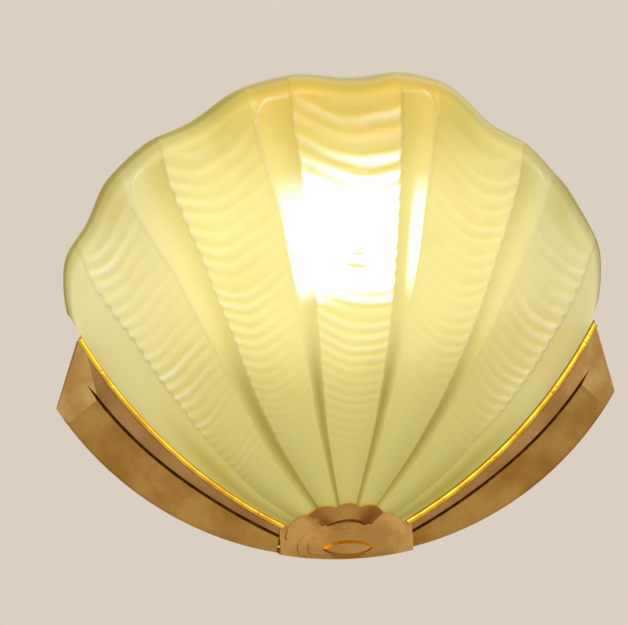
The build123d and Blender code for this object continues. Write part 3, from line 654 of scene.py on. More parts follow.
def merged_copy(node: str, name: Optional[str] = None) -> Piece:
    """Copies a node's mesh and merges its loose triangles to clean faces.

    Args:
        node: Name of the node.
        name: Name of the copy.

    Returns:
        The copy, at the origin.
    """
    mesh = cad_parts[node].data.copy()
    mesh.materials.clear()
    mesh.polygons.foreach_set("material_index", [0] * len(mesh.polygons))
    made = bpy.data.objects.new(name or f"{node}_finished", mesh)
    bpy.context.scene.collection.objects.link(made)
    shape = bmesh.new()
    shape.from_mesh(mesh)
    bmesh.ops.remove_doubles(shape, verts=shape.verts, dist=2e-6)
    bmesh.ops.dissolve_limit(shape, angle_limit=radians(0.6), verts=shape.verts, edges=shape.edges)
    shape.to_mesh(mesh)
    shape.free()
    if mesh.has_custom_normals:
        with bpy.context.temp_override(object=made, active_object=made, selected_objects=[made]):
            bpy.ops.mesh.customdata_custom_splitnormals_clear()
    return made


def round_edges(
    piece: Piece, edge_mm: float, sharper: float = 24.0, edge_finish: Optional[Finish] = None
) -> None:
    """Rounds the edges that stick out, as handling and polishing does.

    Args:
        piece: The piece.
        edge_mm: Width of the rounding.
        sharper: Edges sharper than this many degrees are rounded.
        edge_finish: Finish of the rounded edges, where it differs from the faces.
    """
    shape = bmesh.new()
    shape.from_mesh(piece.data)
    weight = shape.edges.layers.float.new("bevel_weight_edge")
    for edge in shape.edges:
        if len(edge.link_faces) == 2 and edge.calc_face_angle_signed(0.0) > radians(sharper):
            edge[weight] = 1.0
    shape.to_mesh(piece.data)
    shape.free()
    soft = piece.modifiers.new("rounded edges", "BEVEL")
    soft.width = edge_mm * MM
    soft.segments = 3
    soft.limit_method = "WEIGHT"
    soft.use_clamp_overlap = True
    # The rounded edges' own finish carries wear and a painted highlight.
    if edge_finish:
        piece.data.materials.append(wardrobe.material(edge_finish))
        soft.material = len(piece.data.materials) - 1
    settle(piece)
    shade_by_angle(piece, 38)
    even = piece.modifiers.new("flat faces stay flat", "WEIGHTED_NORMAL")
    even.weight, even.keep_sharp = 100, True
    settle(piece)


def softened_copy(node: str, edge_mm: float = 0.35, name: Optional[str] = None) -> Piece:
    """Copies a node's mesh, merges its triangles to clean faces and rounds its edges.

    Args:
        node: Name of the node.
        edge_mm: Width of the rounded edges.
        name: Name of the copy.

    Returns:
        The copy, at the origin.
    """
    made = merged_copy(node, name)
    shade_by_angle(made, 30)
    if edge_mm:
        round_edges(made, edge_mm)
    return made


# ------------------------------------------------------------------ geometry trees
def socket_in(tree: Tree, name: str, kind: str) -> bpy.types.NodeTreeInterfaceSocket:
    """Adds a named input to a geometry tree; kind is the end of the socket's type name."""
    return tree.interface.new_socket(name, in_out="INPUT", socket_type=f"NodeSocket{kind}")


class Growth:
    """Geometry tree that raises the growth ripples on the shell's outer face.

    The first two pairs are lumps in a metre, and octaves of finer lumps. The other pairs are a gain
    and what is added. The skew leans a ripple's crest towards the rim.
    """

    WANDER = (34.0, 1.0)
    PATCHES = (28.0, 2.0)
    PATCH_GAIN = (2.6, -0.55)
    PATCH_SHARE = (0.6, 0.4)
    LOT_SHARE = (0.75, 0.35)
    SKEW = 1.7

    def __init__(self, height_mm: float, unevenness: float) -> None:
        """Builds the tree.

        Args:
            height_mm: Height of a ripple.
            unevenness: How far a ripple wanders, in ripples.
        """
        tree = bpy.data.node_groups.new("growth ripples", "GeometryNodeTree")
        socket_in(tree, "Geometry", "Geometry")
        self.height = socket_in(tree, "Ripple height", "Float")
        self.uneven = socket_in(tree, "Unevenness", "Float")
        self.finish = socket_in(tree, "Finish", "Material")
        tree.interface.new_socket("Geometry", in_out="OUTPUT", socket_type="NodeSocketGeometry")
        given = add(tree, "NodeGroupInput").outputs
        place = add(tree, "GeometryNodeInputPosition")
        wander, patches = (
            add(tree, "ShaderNodeTexNoise", {"Vector": place, "Scale": scale, "Detail": detail})
            for scale, detail in (self.WANDER, self.PATCHES)
        )
        ripple, phase = (
            add(tree, "GeometryNodeInputNamedAttribute", {"Name": name}) for name in ("ripple", "phase")
        )
        wander = add(tree, Step.SUBTRACT, wander, 0.5)
        wander = add(tree, Step.MULTIPLY, wander, given["Unevenness"])
        count = add(tree, Step.ADD, phase, wander)
        number = add(tree, Step.FLOOR, count)
        lot = add(tree, "ShaderNodeTexWhiteNoise", {"W": number}, noise_dimensions="1D")
        lot = add(tree, Step.MULTIPLY_ADD, lot, *self.LOT_SHARE)
        skewed = add(tree, Step.POWER, add(tree, Step.FRACT, count), self.SKEW)
        wave = add(tree, Step.SINE, add(tree, Step.MULTIPLY, skewed, pi))
        patches = add(tree, Step.MULTIPLY_ADD, patches, *self.PATCH_GAIN, use_clamp=True)
        patches = add(tree, Step.MULTIPLY_ADD, patches, *self.PATCH_SHARE)
        amount = add(tree, Step.MULTIPLY, add(tree, Step.MULTIPLY, ripple, patches), lot)
        swell = add(tree, Step.MULTIPLY, wave, amount)
        trough = add(tree, Step.MULTIPLY, add(tree, Step.SUBTRACT, 1.0, wave), amount)
        sunk = add(tree, Step.MULTIPLY, add(tree, Step.MULTIPLY, trough, -1.0), given["Ripple height"])
        normal = add(tree, "GeometryNodeInputNormal").outputs[0]
        move = add(tree, "ShaderNodeVectorMath", {0: normal, "Scale": sunk}, operation="SCALE")
        shape = given["Geometry"]
        # swell and trough also carry the ripples' painted highlight and painted shade into the glass's
        # colour.
        for name, value in (("swell", swell), ("trough", trough)):
            inputs = {"Geometry": shape, "Name": name, "Value": value}
            shape = add(tree, "GeometryNodeStoreNamedAttribute", inputs, data_type="FLOAT")
        shape = add(tree, "GeometryNodeSetPosition", {"Geometry": shape, "Offset": move})
        shape = add(tree, "GeometryNodeRealizeInstances", {0: shape})
        shape = add(tree, "GeometryNodeSetMaterial", {"Geometry": shape, "Material": given["Finish"]})
        add(tree, "NodeGroupOutput", {0: shape})
        self.tree = tree
        self.values = {self.height.identifier: height_mm * MM, self.uneven.identifier: unevenness}

    def press(self, piece: Piece, finish: Finish) -> None:
        """Runs the tree on a piece and keeps the result as a plain mesh.

        Args:
            piece: The shell.
            finish: Its finish.
        """
        pressing = piece.modifiers.new("growth ripples", "NODES")
        pressing.node_group = self.tree
        for identifier, value in self.values.items():
            pressing[identifier] = value
        pressing[self.finish.identifier] = wardrobe.material(finish)
        settle(piece)


class Fasteners:
    """Geometry tree that sets a copy of a fastener on each point, each turned at random."""

    def __init__(self) -> None:
        """Builds the tree."""
        tree = bpy.data.node_groups.new("fasteners on points", "GeometryNodeTree")
        socket_in(tree, "Geometry", "Geometry")
        self.fastener = socket_in(tree, "Fastener", "Object")
        self.axis = socket_in(tree, "Axis", "Vector")
        self.seed = socket_in(tree, "Turn seed", "Int")
        self.finish = socket_in(tree, "Finish", "Material")
        tree.interface.new_socket("Geometry", in_out="OUTPUT", socket_type="NodeSocketGeometry")
        given = add(tree, "NodeGroupInput").outputs
        shape = add(tree, "GeometryNodeObjectInfo", {"Object": given["Fastener"]}).outputs["Geometry"]
        facing = add(tree, "FunctionNodeAlignRotationToVector", {"Vector": given["Axis"]}, axis="Z")
        turns = {"Min": (0, 0, 0), "Max": (0, 0, pi), "Seed": given["Turn seed"]}
        spin = add(tree, "FunctionNodeRandomValue", turns, data_type="FLOAT_VECTOR")
        spin = add(tree, "FunctionNodeEulerToRotation", {0: spin})
        turned = add(tree, "FunctionNodeRotateRotation", {0: facing, 1: spin}, rotation_space="LOCAL")
        inputs = {"Points": given["Geometry"], "Instance": shape, "Rotation": turned}
        placed = add(tree, "GeometryNodeInstanceOnPoints", inputs)
        placed = add(tree, "GeometryNodeRealizeInstances", {0: placed})
        placed = add(tree, "GeometryNodeSetMaterial", {"Geometry": placed, "Material": given["Finish"]})
        add(tree, "NodeGroupOutput", {0: placed})
        self.tree = tree

    def place(
        self, name: str, pattern: Piece, points: Sequence, axis: Vector, seed: int, finish: Finish
    ) -> Piece:
        """Sets the fasteners and keeps them as one plain mesh.

        Args:
            name: Name of the new piece.
            pattern: One fastener at the origin, its head up +Z. It is removed.
            points: Where the heads' seats are, in millimetres.
            axis: The way that the heads face.
            seed: Seed of the turns.
            finish: The fasteners' finish.

        Returns:
            The piece.
        """
        made = piece_from(name, np.array(points, float), [])
        setting = made.modifiers.new("fasteners", "NODES")
        setting.node_group = self.tree
        setting[self.fastener.identifier] = pattern
        setting[self.axis.identifier] = tuple(axis)
        setting[self.seed.identifier] = seed
        setting[self.finish.identifier] = wardrobe.material(finish)
        settle(made)
        shade_by_angle(made, 35)
        bpy.data.objects.remove(pattern)
        return made


# ------------------------------------------------------------------ glass shade
@dataclass
class GlassShade:
    """The pressed scallop shell. Angles are in degrees at the rim, seen from the hub."""

    half_width: float = 135.0
    crown_z: float = 141.45
    widest_z: float = 44.0
    hub_z: float = -90.0
    hub_edge_radius: float = 16.0
    hub_depth: float = 30.0
    crown_depth: float = 103.0
    side_depth: float = 13.0
    return_depth: float = 79.0
    return_side_depth: float = 5.0
    shoulder: float = 12.0
    wall: float = 4.0
    rounding: float = 0.75
    rounding_steps: tuple = (0.18, 0.5, 0.82)
    edge_beyond_tip: tuple = (2.4, 2.5)
    edge_at_hub: tuple = (15.6, -86.2)
    scallop: float = 4.2
    scallop_bands: tuple = ((0.0, 7.3), (18.8, 7.0), (37.6, 6.2))
    edge_arc: tuple = ()
    front_share: float = 0.86
    edge_shares: tuple = (0.20, 0.35, 0.50, 0.70, 0.90)
    left_edges: tuple = (
        (8.0, 7.3, 6.9, 7.0, 7.7),
        (10.8, 10.4, 10.3, 10.9, 12.2),
        (23.4, 22.9, 22.2, 22.6, 24.1),
        (27.6, 26.6, 26.1, 27.1, 29.7),
        (39.8, 38.4, 37.7, 38.0, 39.9),
    )
    right_edges: tuple = (
        (7.7, 7.2, 6.8, 6.2, 5.7),
        (10.9, 10.7, 10.3, 10.0, 10.4),
        (24.9, 24.5, 24.2, 23.8, 24.4),
        (28.6, 28.2, 27.8, 28.3, 29.8),
        (40.3, 39.7, 40.1, 40.4, 41.1),
    )
    worn_left: float = 2.5
    worn_right: float = 7.5
    sunk: float = 1.0
    band_end: float = 0.957
    lobe_sizes: tuple = (0.10, 0.0, 0.28, 0.0, 0.42)
    # Strength of the painted highlight line along each flute's edge.
    line_strengths: tuple = (0.5, 0.4, 0.9, 0.35, 1.2)
    ripple_start: float = 1.7
    ripple_rate: float = 0.037
    ripple_reach: float = 210.0
    ripple_height: float = 1.2
    ripple_wander: float = 0.9
    swag: float = 8.0
    low_points: tuple = (0.25, -0.15, -0.45)
    swag_shares: tuple = (0.8, 1.0, 0.55)
    columns: int = 321
    rows: int = 261
    shoulder_rows: int = 40
    coarse: int = 5
    corner_radius: float = field(init=False, default=170.0)
    corner_angle: float = field(init=False, default=0.87)

    def __post_init__(self) -> None:
        """Finds the corner where the side edge meets the rim."""
        if not self.edge_arc:
            self.edge_arc = self.side_arc()
        for _ in range(60):
            angle = self.edge_angle(np.array(self.corner_radius))
            self.corner_radius = float(self.rim_radius(angle))
        self.corner_angle = float(self.edge_angle(np.array(self.corner_radius)))

    def side_arc(self) -> tuple[float, float, float]:
        """Works out the arc of the side edge from the cradle's lip.

        Returns:
            Centre X, centre Z and radius.
        """
        cradle = Cradle()
        x, z, radius = cradle.lip_arc()
        first, last = cradle.lip_ends()
        middle, reach = (first + last) / 2, radius + cradle.lip_cover
        point = (x + reach * cos(middle), z + reach * sin(middle))
        top = (cradle.tip[0] + self.edge_beyond_tip[0], cradle.tip[1] + self.edge_beyond_tip[1])
        return circle_through(top, point, self.edge_at_hub)

    def edge_angle(self, radius: np.ndarray) -> np.ndarray:
        """Angle from upright at which the side edge lies at a distance from the hub.

        Args:
            radius: Distance from the hub.

        Returns:
            The angle.
        """
        dx, dz = self.edge_arc[0], self.edge_arc[1] - self.hub_z
        far = hypot(dx, dz)
        return atan2(dx, dz) + np.arccos((radius**2 + far**2 - self.edge_arc[2] ** 2) / (2 * radius * far))

    def rim_radius(self, angle: np.ndarray) -> np.ndarray:
        """Distance from the hub to the oval outline.

        Args:
            angle: Angle from upright.

        Returns:
            The distance.
        """
        rise, half_height = self.widest_z - self.hub_z, self.crown_z - self.widest_z
        a = (np.sin(angle) / self.half_width) ** 2 + (np.cos(angle) / half_height) ** 2
        b = np.cos(angle) * rise / half_height**2
        c = (rise / half_height) ** 2 - 1
        return (b + np.sqrt(b * b - a * c)) / a

    def swell(self, angle: np.ndarray, bands: Sequence) -> np.ndarray:
        """Cosine bumps over bands, each a middle and a half angle in degrees.

        Args:
            angle: Angle from upright.
            bands: The bands.

        Returns:
            The sum of the bumps, 0 to 1 in each band.
        """
        total = np.zeros_like(angle)
        for middle, half in bands:
            across = (np.abs(np.degrees(angle)) - middle) / half
            total += np.where(np.abs(across) < 1, 0.5 * (1 + np.cos(pi * np.clip(across, -1, 1))), 0)
        return total

    def outline(self, angle: np.ndarray) -> np.ndarray:
        """Distance from the hub to the rim, scalloped and worn down in the upper flanks.

        Args:
            angle: Angle from upright.

        Returns:
            The distance.
        """
        degree = np.degrees(angle)
        right = ease((degree - 9) / 15) * (1 - ease((degree - 30) / 9))
        left = ease((-degree - 14) / 10) * (1 - ease((-degree - 34) / 8))
        even = self.rim_radius(angle) - self.scallop * self.swell(angle, self.scallop_bands)
        return even - self.worn_right * right - self.worn_left * left

    def shoulder_turn(self, v: np.ndarray) -> np.ndarray:
        """How far the face has turned to the back, from 0 to a quarter turn."""
        return np.clip((v - self.front_share) / (1 - self.front_share), 0, 1) * pi / 2

    def skin(self, s: np.ndarray, v: np.ndarray) -> tuple[np.ndarray, np.ndarray]:
        """Smooth outer face.

        Args:
            s: From side edge to side edge, -1 to 1.
            v: From the hub edge to the rim, 0 to 1.

        Returns:
            Points in millimetres, and the share of the way from the hub edge to the rim.
        """
        outline = self.outline(s * self.corner_angle)
        shoulder = outline - self.shoulder
        bulge = np.cos(pi * s / 2) ** 2
        t = np.clip(v / self.front_share, 0, 1)
        turn = self.shoulder_turn(v)
        front = v <= self.front_share
        ahead = self.hub_edge_radius + t * (shoulder - self.hub_edge_radius)
        radius = np.where(front, ahead, shoulder + self.shoulder * np.sin(turn))
        crown = self.hub_depth + (self.crown_depth - self.hub_depth) * np.sin(pi * t / 2)
        lowest = self.return_side_depth + (self.return_depth - self.return_side_depth) * bulge
        brow = self.side_depth + (self.crown_depth - self.side_depth) * bulge
        ahead = self.side_depth + (crown - self.side_depth) * bulge
        depth = np.where(front, ahead, lowest + (brow - lowest) * np.cos(turn))
        share = (radius - self.hub_edge_radius) / (outline - self.hub_edge_radius)
        reach = self.hub_edge_radius + share * (self.corner_radius - self.hub_edge_radius)
        angle = s * self.edge_angle(reach)
        points = np.stack([radius * np.sin(angle), -depth, self.hub_z + radius * np.cos(angle)], -1)
        return points, share

    def normals(self, s: np.ndarray, v: np.ndarray, step: float = 1e-3) -> np.ndarray:
        """Outward normals of the smooth outer face.

        Args:
            s: From side edge to side edge, -1 to 1.
            v: From the hub edge to the rim, 0 to 1.
            step: How far apart the points are that a slope is taken from.

        Returns:
            The normals, each of length 1.
        """
        along_s = self.skin(np.minimum(s + step, 1), v)[0] - self.skin(np.maximum(s - step, -1), v)[0]
        along_v = self.skin(s, np.minimum(v + step, 1))[0] - self.skin(s, np.maximum(v - step, 0))[0]
        normal = np.cross(along_s, along_v)
        normal /= np.linalg.norm(normal, axis=-1, keepdims=True)
        return np.where(normal[..., 1:2] > 0, -normal, normal)

    def ripple_phase(self, share: np.ndarray, across: np.ndarray, flute: int) -> np.ndarray:
        """Count of growth ripples from the hub, where each hangs like a swag across its flute.

        Args:
            share: Share of the way from the hub edge to the rim.
            across: Place across the flute, -1 at its inner edge and 1 at its outer edge.
            flute: Number of the flute, from the middle.

        Returns:
            The count; whole numbers are where a ripple starts.
        """
        radius = self.hub_edge_radius + share * self.ripple_reach
        first, rate = self.ripple_start, self.ripple_rate
        count = np.log((first + rate * radius) / first) / rate
        hang = np.clip(np.abs(across - self.low_points[flute]), 0, 1.6) ** 2.5
        sag = self.swag * self.swag_shares[flute] * ease(share / 0.7) * hang
        return count - sag / (first + rate * radius) + 0.37 * flute

    def edges(self, share: np.ndarray, right: np.ndarray) -> list[np.ndarray]:
        """Angles of the flutes' edges, from the middle outward.

        Args:
            share: Share of the way from the hub edge to the rim.
            right: Whether a point is right of the middle.

        Returns:
            The five angles in degrees, at each point.
        """
        pairs = zip(self.left_edges, self.right_edges)
        rows = self.edge_shares
        return [np.where(right, np.interp(share, rows, b), np.interp(share, rows, a)) for a, b in pairs]

    def glare(self, signed: np.ndarray, share: np.ndarray, b: Sequence) -> np.ndarray:
        """The white patch where the lamp shines straight through, cut off by the flutes' edges.

        Args:
            signed: Angle in degrees, right positive.
            share: Share of the way from the hub edge to the rim.
            b: The flutes' edges.

        Returns:
            The mask, 0 to 1.
        """
        left = ease((signed + b[1] - 0.1) / 0.5) * (1 - ease((signed + b[0] - 0.3) / 0.8))
        middle = ease((signed + b[0] + 0.3) / 0.8) * (1 - ease((signed - b[0] + 0.5) / 0.5))
        strip = ease((signed - b[0] - 1.1) / 1.4) * (1 - ease((signed - b[1] + 0.35) / 0.4))
        tall = ease((share - 0.455) / 0.085) * (1 - ease((share - 0.69) / 0.17))
        high = ease((share - 0.46) / 0.11) * (1 - ease((share - 0.63) / 0.22))
        short = ease((share - 0.44) / 0.20) * (1 - ease((share - 0.64) / 0.20))
        return left * high + middle * tall + strip * short

    def lobed(self, share: np.ndarray, edges: Sequence) -> tuple[list, list]:
        """Scallops the flutes' edges where ripples end at them.

        Args:
            share: Share of the way from the hub edge to the rim.
            edges: The flutes' smooth edges.

        Returns:
            The scalloped edges, and how far each lobe stands out, 0 to 1.
        """
        bounds, lobes = [], []
        fade = ease((share - 0.15) / 0.2) * (1 - ease((share - 0.86) / 0.06))
        for number, (bound, size) in enumerate(zip(edges, self.lobe_sizes)):
            turn = np.mod(self.ripple_phase(share, np.ones_like(share), (number + 1) // 2), 1)
            lobe = np.sin(pi * turn**1.3)
            lobes.append(lobe)
            bounds.append(bound + size * fade * (lobe - 0.55))
        return bounds, lobes

    def profiles(self, angle: np.ndarray, upper: np.ndarray, bounds: Sequence, flutes: Sequence) -> list:
        """Height of each flute, ridge and side margin, from the middle outward.

        Args:
            angle: Angle from the middle, in degrees.
            upper: How far a point is above the ribs near the hub, 0 to 1.
            bounds: The scalloped edges.
            flutes: Inner and outer edge of each flute.

        Returns:
            The heights in millimetres, over the whole face.
        """
        parts = []
        for number in range(6):
            low, high = bounds[number - 1], bounds[min(number, 4)]
            if number in (0, 2, 4):
                low, high = flutes[number // 2]
                across = 2 * np.clip((angle - low) / (high - low), 0, 1) - 1
                hollow = 1 - across**2
                rise = 0.45 + 0.75 * across if number else 0.9 * across**2
                ends = (1.9 * hollow - 0.4, rise - 2.3 * hollow)
            elif number < 5:
                across = np.clip((angle - low) / (high - low), 0, 1)
                ends = (-0.4 - 1.6 * np.sin(pi * across), -1.1 + 2.1 * across**1.4)
            else:
                across = np.clip((angle - high) / (degrees(self.corner_angle) - high), 0, 1)
                ends = (-0.9 + 0.4 * across, -0.8 + 0.4 * across)
            parts.append(ends[0] + (ends[1] - ends[0]) * upper)
        return parts

    def ridges(self, angle: np.ndarray, share: np.ndarray, upper: np.ndarray, b: Sequence) -> dict:
        """Masks of the narrow ridges between the flutes, which end in a round shoulder near the rim: painted
        highlight along the shoulders, painted shade in the valleys near the hub and on the bands' inner
        sides, and where the ridges and their ends lie.

        Args:
            angle: Angle from the middle, in degrees.
            share: Share of the way from the hub edge to the rim.
            upper: How far a point is above the ribs near the hub, 0 to 1.
            b: The flutes' smooth edges.

        Returns:
            The masks, by name.
        """
        crest, valley, shade, inside_any = (np.zeros_like(angle) for _ in range(4))
        ends = np.ones_like(angle)
        for low, high in ((b[0], b[1]), (b[2], b[3])):
            across = np.clip((angle - (low + high) / 2) / ((high - low) / 2), -1, 1)
            end = self.band_end - 0.050 * np.clip(across, 0, 1) ** 3 - 0.006 * np.clip(-across, 0, 1)
            inside = np.abs(across) < 1
            inside_any = np.maximum(inside_any, inside)
            ends = np.where(inside, 1 - ease((share - end) / 0.012), ends)
            corner = 0.25 + 0.65 * ease(across * 2)
            # crest: a painted highlight along each ridge's rounded shoulder.
            crest = np.maximum(crest, inside * corner * np.exp(-(((share - end) / 0.005) ** 2)))
            # valley: painted shade in the sunk valleys near the hub, and beside the outer flute.
            valley = np.maximum(valley, np.exp(-((across * 0.95) ** 2) * 1.2) * inside * (1 - upper))
            shade = np.maximum(shade, inside * ends * (1 - ease((across + 0.75) / 1.2)))
        margin = 0.7 * np.exp(-(((angle - b[4] - 4.0) / 2.0) ** 2)) * (1 - upper)
        valley = np.maximum(valley, margin)
        return {"crest": crest, "valley": valley, "shade": shade, "inside": inside_any, "ends": ends}

    def ripples(self, signed: np.ndarray, share: np.ndarray, flutes: Sequence) -> tuple:
        """Strength and count of the growth ripples, and the shade at the flutes' tops.

        Args:
            signed: Angle in degrees, right positive.
            share: Share of the way from the hub edge to the rim.
            flutes: Inner and outer edge of each flute.

        Returns:
            The strength, the count and the shade.
        """
        right = signed > 0
        strength, phase, shade = (np.zeros_like(signed) for _ in range(3))
        for number, (low, high) in enumerate(flutes):
            place = np.abs(signed) if number else signed
            across = (place - (low + high) / 2) / ((high - low) / 2)
            inner = 0.70 + 0.30 * across if number else np.ones_like(across)
            within = ease((1.03 - np.abs(across)) / 0.10) * np.clip(inner, 0.35, 1)
            within = within * (0.7 if number == 1 else 1.0) * np.where(right & (number > 0), 0.85, 1.0)
            strength = np.maximum(strength, within)
            count = self.ripple_phase(share, across, number) + (19.5 * right if number else 0) + 41 * number
            phase = np.where(np.abs(across) < 1.2, count, phase)
            lobe = np.exp(-(((across + (0.4 if number else 0.0)) / 0.5) ** 2)) * (np.abs(across) < 1)
            top = ease((share - 0.885) / 0.045)
            shade = np.maximum(shade, (0.9 if number else 0.5) * lobe * top)
        fade = (1 - ease((share - 0.92) / 0.04)) * ease((share - 0.08) / 0.25)
        return strength * fade, phase, shade

    def relief(self, s: np.ndarray, share: np.ndarray) -> dict[str, np.ndarray]:
        """Relief and masks of the outer face.

        The bands lie like tiles: each rises outward to a crest and drops to the next. Near the hub
        the flutes round over into ribs, and what lies between them sinks to a valley. The outer
        edges of the flutes are scalloped by the ripples that end there.

        Args:
            s: From side edge to side edge.
            share: Share of the way from the hub edge to the rim.

        Returns:
            The height in millimetres and the masks, by name.
        """
        signed = np.degrees(s * self.corner_angle)
        angle = np.abs(signed)
        upper = ease((share - 0.26) / 0.34)
        edges = self.edges(share, s > 0)
        bounds, lobes = self.lobed(share, edges)
        flutes = [(-bounds[0], bounds[0]), (bounds[1], bounds[2]), (bounds[3], bounds[4])]
        parts = self.profiles(angle, upper, bounds, flutes)
        ridges = self.ridges(angle, share, upper, edges)
        crest, height = ridges["crest"], parts[0]
        grown = ease((share - 0.2) / 0.3) * (1 - ease((share - 0.90) / 0.03))
        for number, (bound, part) in enumerate(zip(bounds, parts[1:])):
            weight = ease((angle - bound) / 0.6 + 0.5)
            height = height * (1 - weight) + part * weight
            # A painted highlight line along each flute's edge, stronger on its lobes.
            line = np.exp(-(((angle - bound + 0.14) / 0.17) ** 2)) * self.line_strengths[number] * grown
            crest = np.maximum(crest, line * (0.35 + 0.65 * lobes[number] if number in (0, 2, 4) else 1.0))
        keep = np.where(ridges["inside"] > 0, ridges["ends"], 1 - 0.35 * ease((share - 0.885) / 0.05))
        ripple, phase, top_shade = self.ripples(signed, share, flutes)
        return {
            "height": height * keep - 0.9 * (1 - keep) * (ridges["inside"] > 0) - self.sunk,
            # Painted highlight lines.
            "crest": crest,
            # Painted shade in the valleys.
            "valley": ridges["valley"] * 0.8,
            "ripple": ripple * (0.5 + 0.5 * upper),
            "phase": phase,
            "glare": self.glare(signed, share, edges),
            "shade": np.maximum(ridges["shade"], top_shade) * (0.4 + 0.6 * upper),
            # Where the rim gets its painted shade.
            "edge": 0.45 * ease((share - 0.955) / 0.03) + 0.55 * ease((share - 0.985) / 0.012),
        }

    def edge_loops(self, outer: np.ndarray, inner: np.ndarray) -> tuple[list, list, list]:
        """Rings of points that round the cut edge between the outer and the inner face.

        Args:
            outer: Grid of the outer face.
            inner: Coarser grid of the inner face.

        Returns:
            The border of the outer grid, the border of the inner grid, and the rings' points.
        """
        loop, inner_loop = self.border(*outer.shape[:2]), self.border(*inner.shape[:2])
        near, corners = outer.reshape(-1, 3)[loop], inner.reshape(-1, 3)[inner_loop]
        part = (np.arange(len(loop)) % self.coarse)[:, None] / self.coarse
        here = corners[np.arange(len(loop)) // self.coarse % len(corners)]
        ahead = corners[(np.arange(len(loop)) // self.coarse + 1) % len(corners)]
        far = here * (1 - part) + ahead * part
        out = self.out_directions(near, far) * self.rounding
        rings = [near * (1 - t) + far * t + out * sin(pi * t) for t in self.rounding_steps]
        return loop, inner_loop, rings

    def build(self) -> Piece:
        """Builds the closed shell: outer face, smooth inner face and rounded edges.

        Returns:
            The piece.
        """
        s, v = np.meshgrid(np.linspace(-1, 1, self.columns), self.v_line())
        points, share = self.skin(s, v)
        normals = self.normals(s, v)
        relief = self.relief(s, share)
        raised = relief.pop("height") * np.cos(self.shoulder_turn(v))
        outer = points + normals * raised[..., None]
        thin = (slice(None, None, self.coarse), slice(None, None, self.coarse))
        inner = self.skin(s[thin], v[thin])[0] - normals[thin] * self.wall
        loop, inner_loop, rings = self.edge_loops(outer, inner)
        base, count = outer[..., 0].size, len(loop)
        total = base + inner[..., 0].size
        faces = grid_faces(*outer.shape[:2]) + grid_faces(*inner.shape[:2], base, flip=True)
        masks = {name: [value.reshape(-1), np.zeros(total - base)] for name, value in relief.items()}
        for name, values in masks.items():
            values += [np.full(count, float(name == "edge"))] * len(rings)
        chain = [loop] + [list(range(total + k * count, total + (k + 1) * count)) for k in range(len(rings))]
        for first, second in zip(chain, chain[1:]):
            for i in range(count):
                j = (i + 1) % count
                faces.append((first[j], first[i], second[i], second[j]))
        last = chain[-1]
        for i in range(count):
            j = (i + 1) % count
            step = i // self.coarse
            a = base + inner_loop[step % len(inner_loop)]
            face = (last[j], last[i], a)
            if j % self.coarse == 0:
                face += (base + inner_loop[(step + 1) % len(inner_loop)],)
            faces.append(face)
        verts = [outer.reshape(-1, 3), inner.reshape(-1, 3)] + rings
        piece = piece_from("glass_shell", np.concatenate(verts), faces)
        for name, parts in masks.items():
            layer = piece.data.attributes.new(name, "FLOAT", "POINT")
            layer.data.foreach_set("value", np.concatenate(parts).astype(np.float32))
        return piece

    def v_line(self) -> np.ndarray:
        """Rows of the outer face, closer together round the shoulder.

        Returns:
            The rows' places from the hub edge to the rim, 0 to 1.
        """
        front_rows = self.rows - self.shoulder_rows
        first = np.linspace(0, self.front_share, front_rows, endpoint=False)
        return np.concatenate([first, np.linspace(self.front_share, 1, self.shoulder_rows)])

    def border(self, rows: int, columns: int) -> list[int]:
        """Numbers of the points round a grid, in order.

        Args:
            rows: Number of rows.
            columns: Points in a row.

        Returns:
            The numbers.
        """
        bottom = list(range(columns - 1))
        right = [j * columns + columns - 1 for j in range(rows - 1)]
        top = [(rows - 1) * columns + i for i in range(columns - 1, 0, -1)]
        left = [j * columns for j in range(rows - 1, 0, -1)]
        return bottom + right + top + left

    def out_directions(self, near: np.ndarray, far: np.ndarray) -> np.ndarray:
        """Directions out of the glass along its cut edge.

        Args:
            near: Points along the outer face's border.
            far: The inner face's points across from them.

        Returns:
            One direction for each point.
        """
        along = np.roll(near, -1, 0) - np.roll(near, 1, 0)
        out = np.cross(along, far - near)
        out /= np.linalg.norm(out, axis=-1, keepdims=True) + 1e-9
        middle = near.mean(0)
        sign = np.sign(((near - middle) * out).sum(-1, keepdims=True))
        return out * np.where(sign == 0, 1, sign)

    def dress(self) -> None:
        """Builds, ripples and dresses the shell."""
        shell = self.build()
        Growth(self.ripple_height, self.ripple_wander).press(shell, GLASS)
        finish_piece(shell, "shade", GLASS, "amber_glass", "glass_shade")


def circle_through(a: tuple, b: tuple, c: tuple) -> tuple[float, float, float]:
    """Centre and radius of the circle through three points.

    Args:
        a: First point.
        b: Second point.
        c: Third point.

    Returns:
        Centre X, centre Z and radius.
    """
    d = 2 * (a[0] * (b[1] - c[1]) + b[0] * (c[1] - a[1]) + c[0] * (a[1] - b[1]))
    sa, sb, sc = (p[0] ** 2 + p[1] ** 2 for p in (a, b, c))
    x = (sa * (b[1] - c[1]) + sb * (c[1] - a[1]) + sc * (a[1] - b[1])) / d
    z = (sa * (c[0] - b[0]) + sb * (a[0] - c[0]) + sc * (b[0] - a[0])) / d
    return x, z, hypot(a[0] - x, a[1] - z)


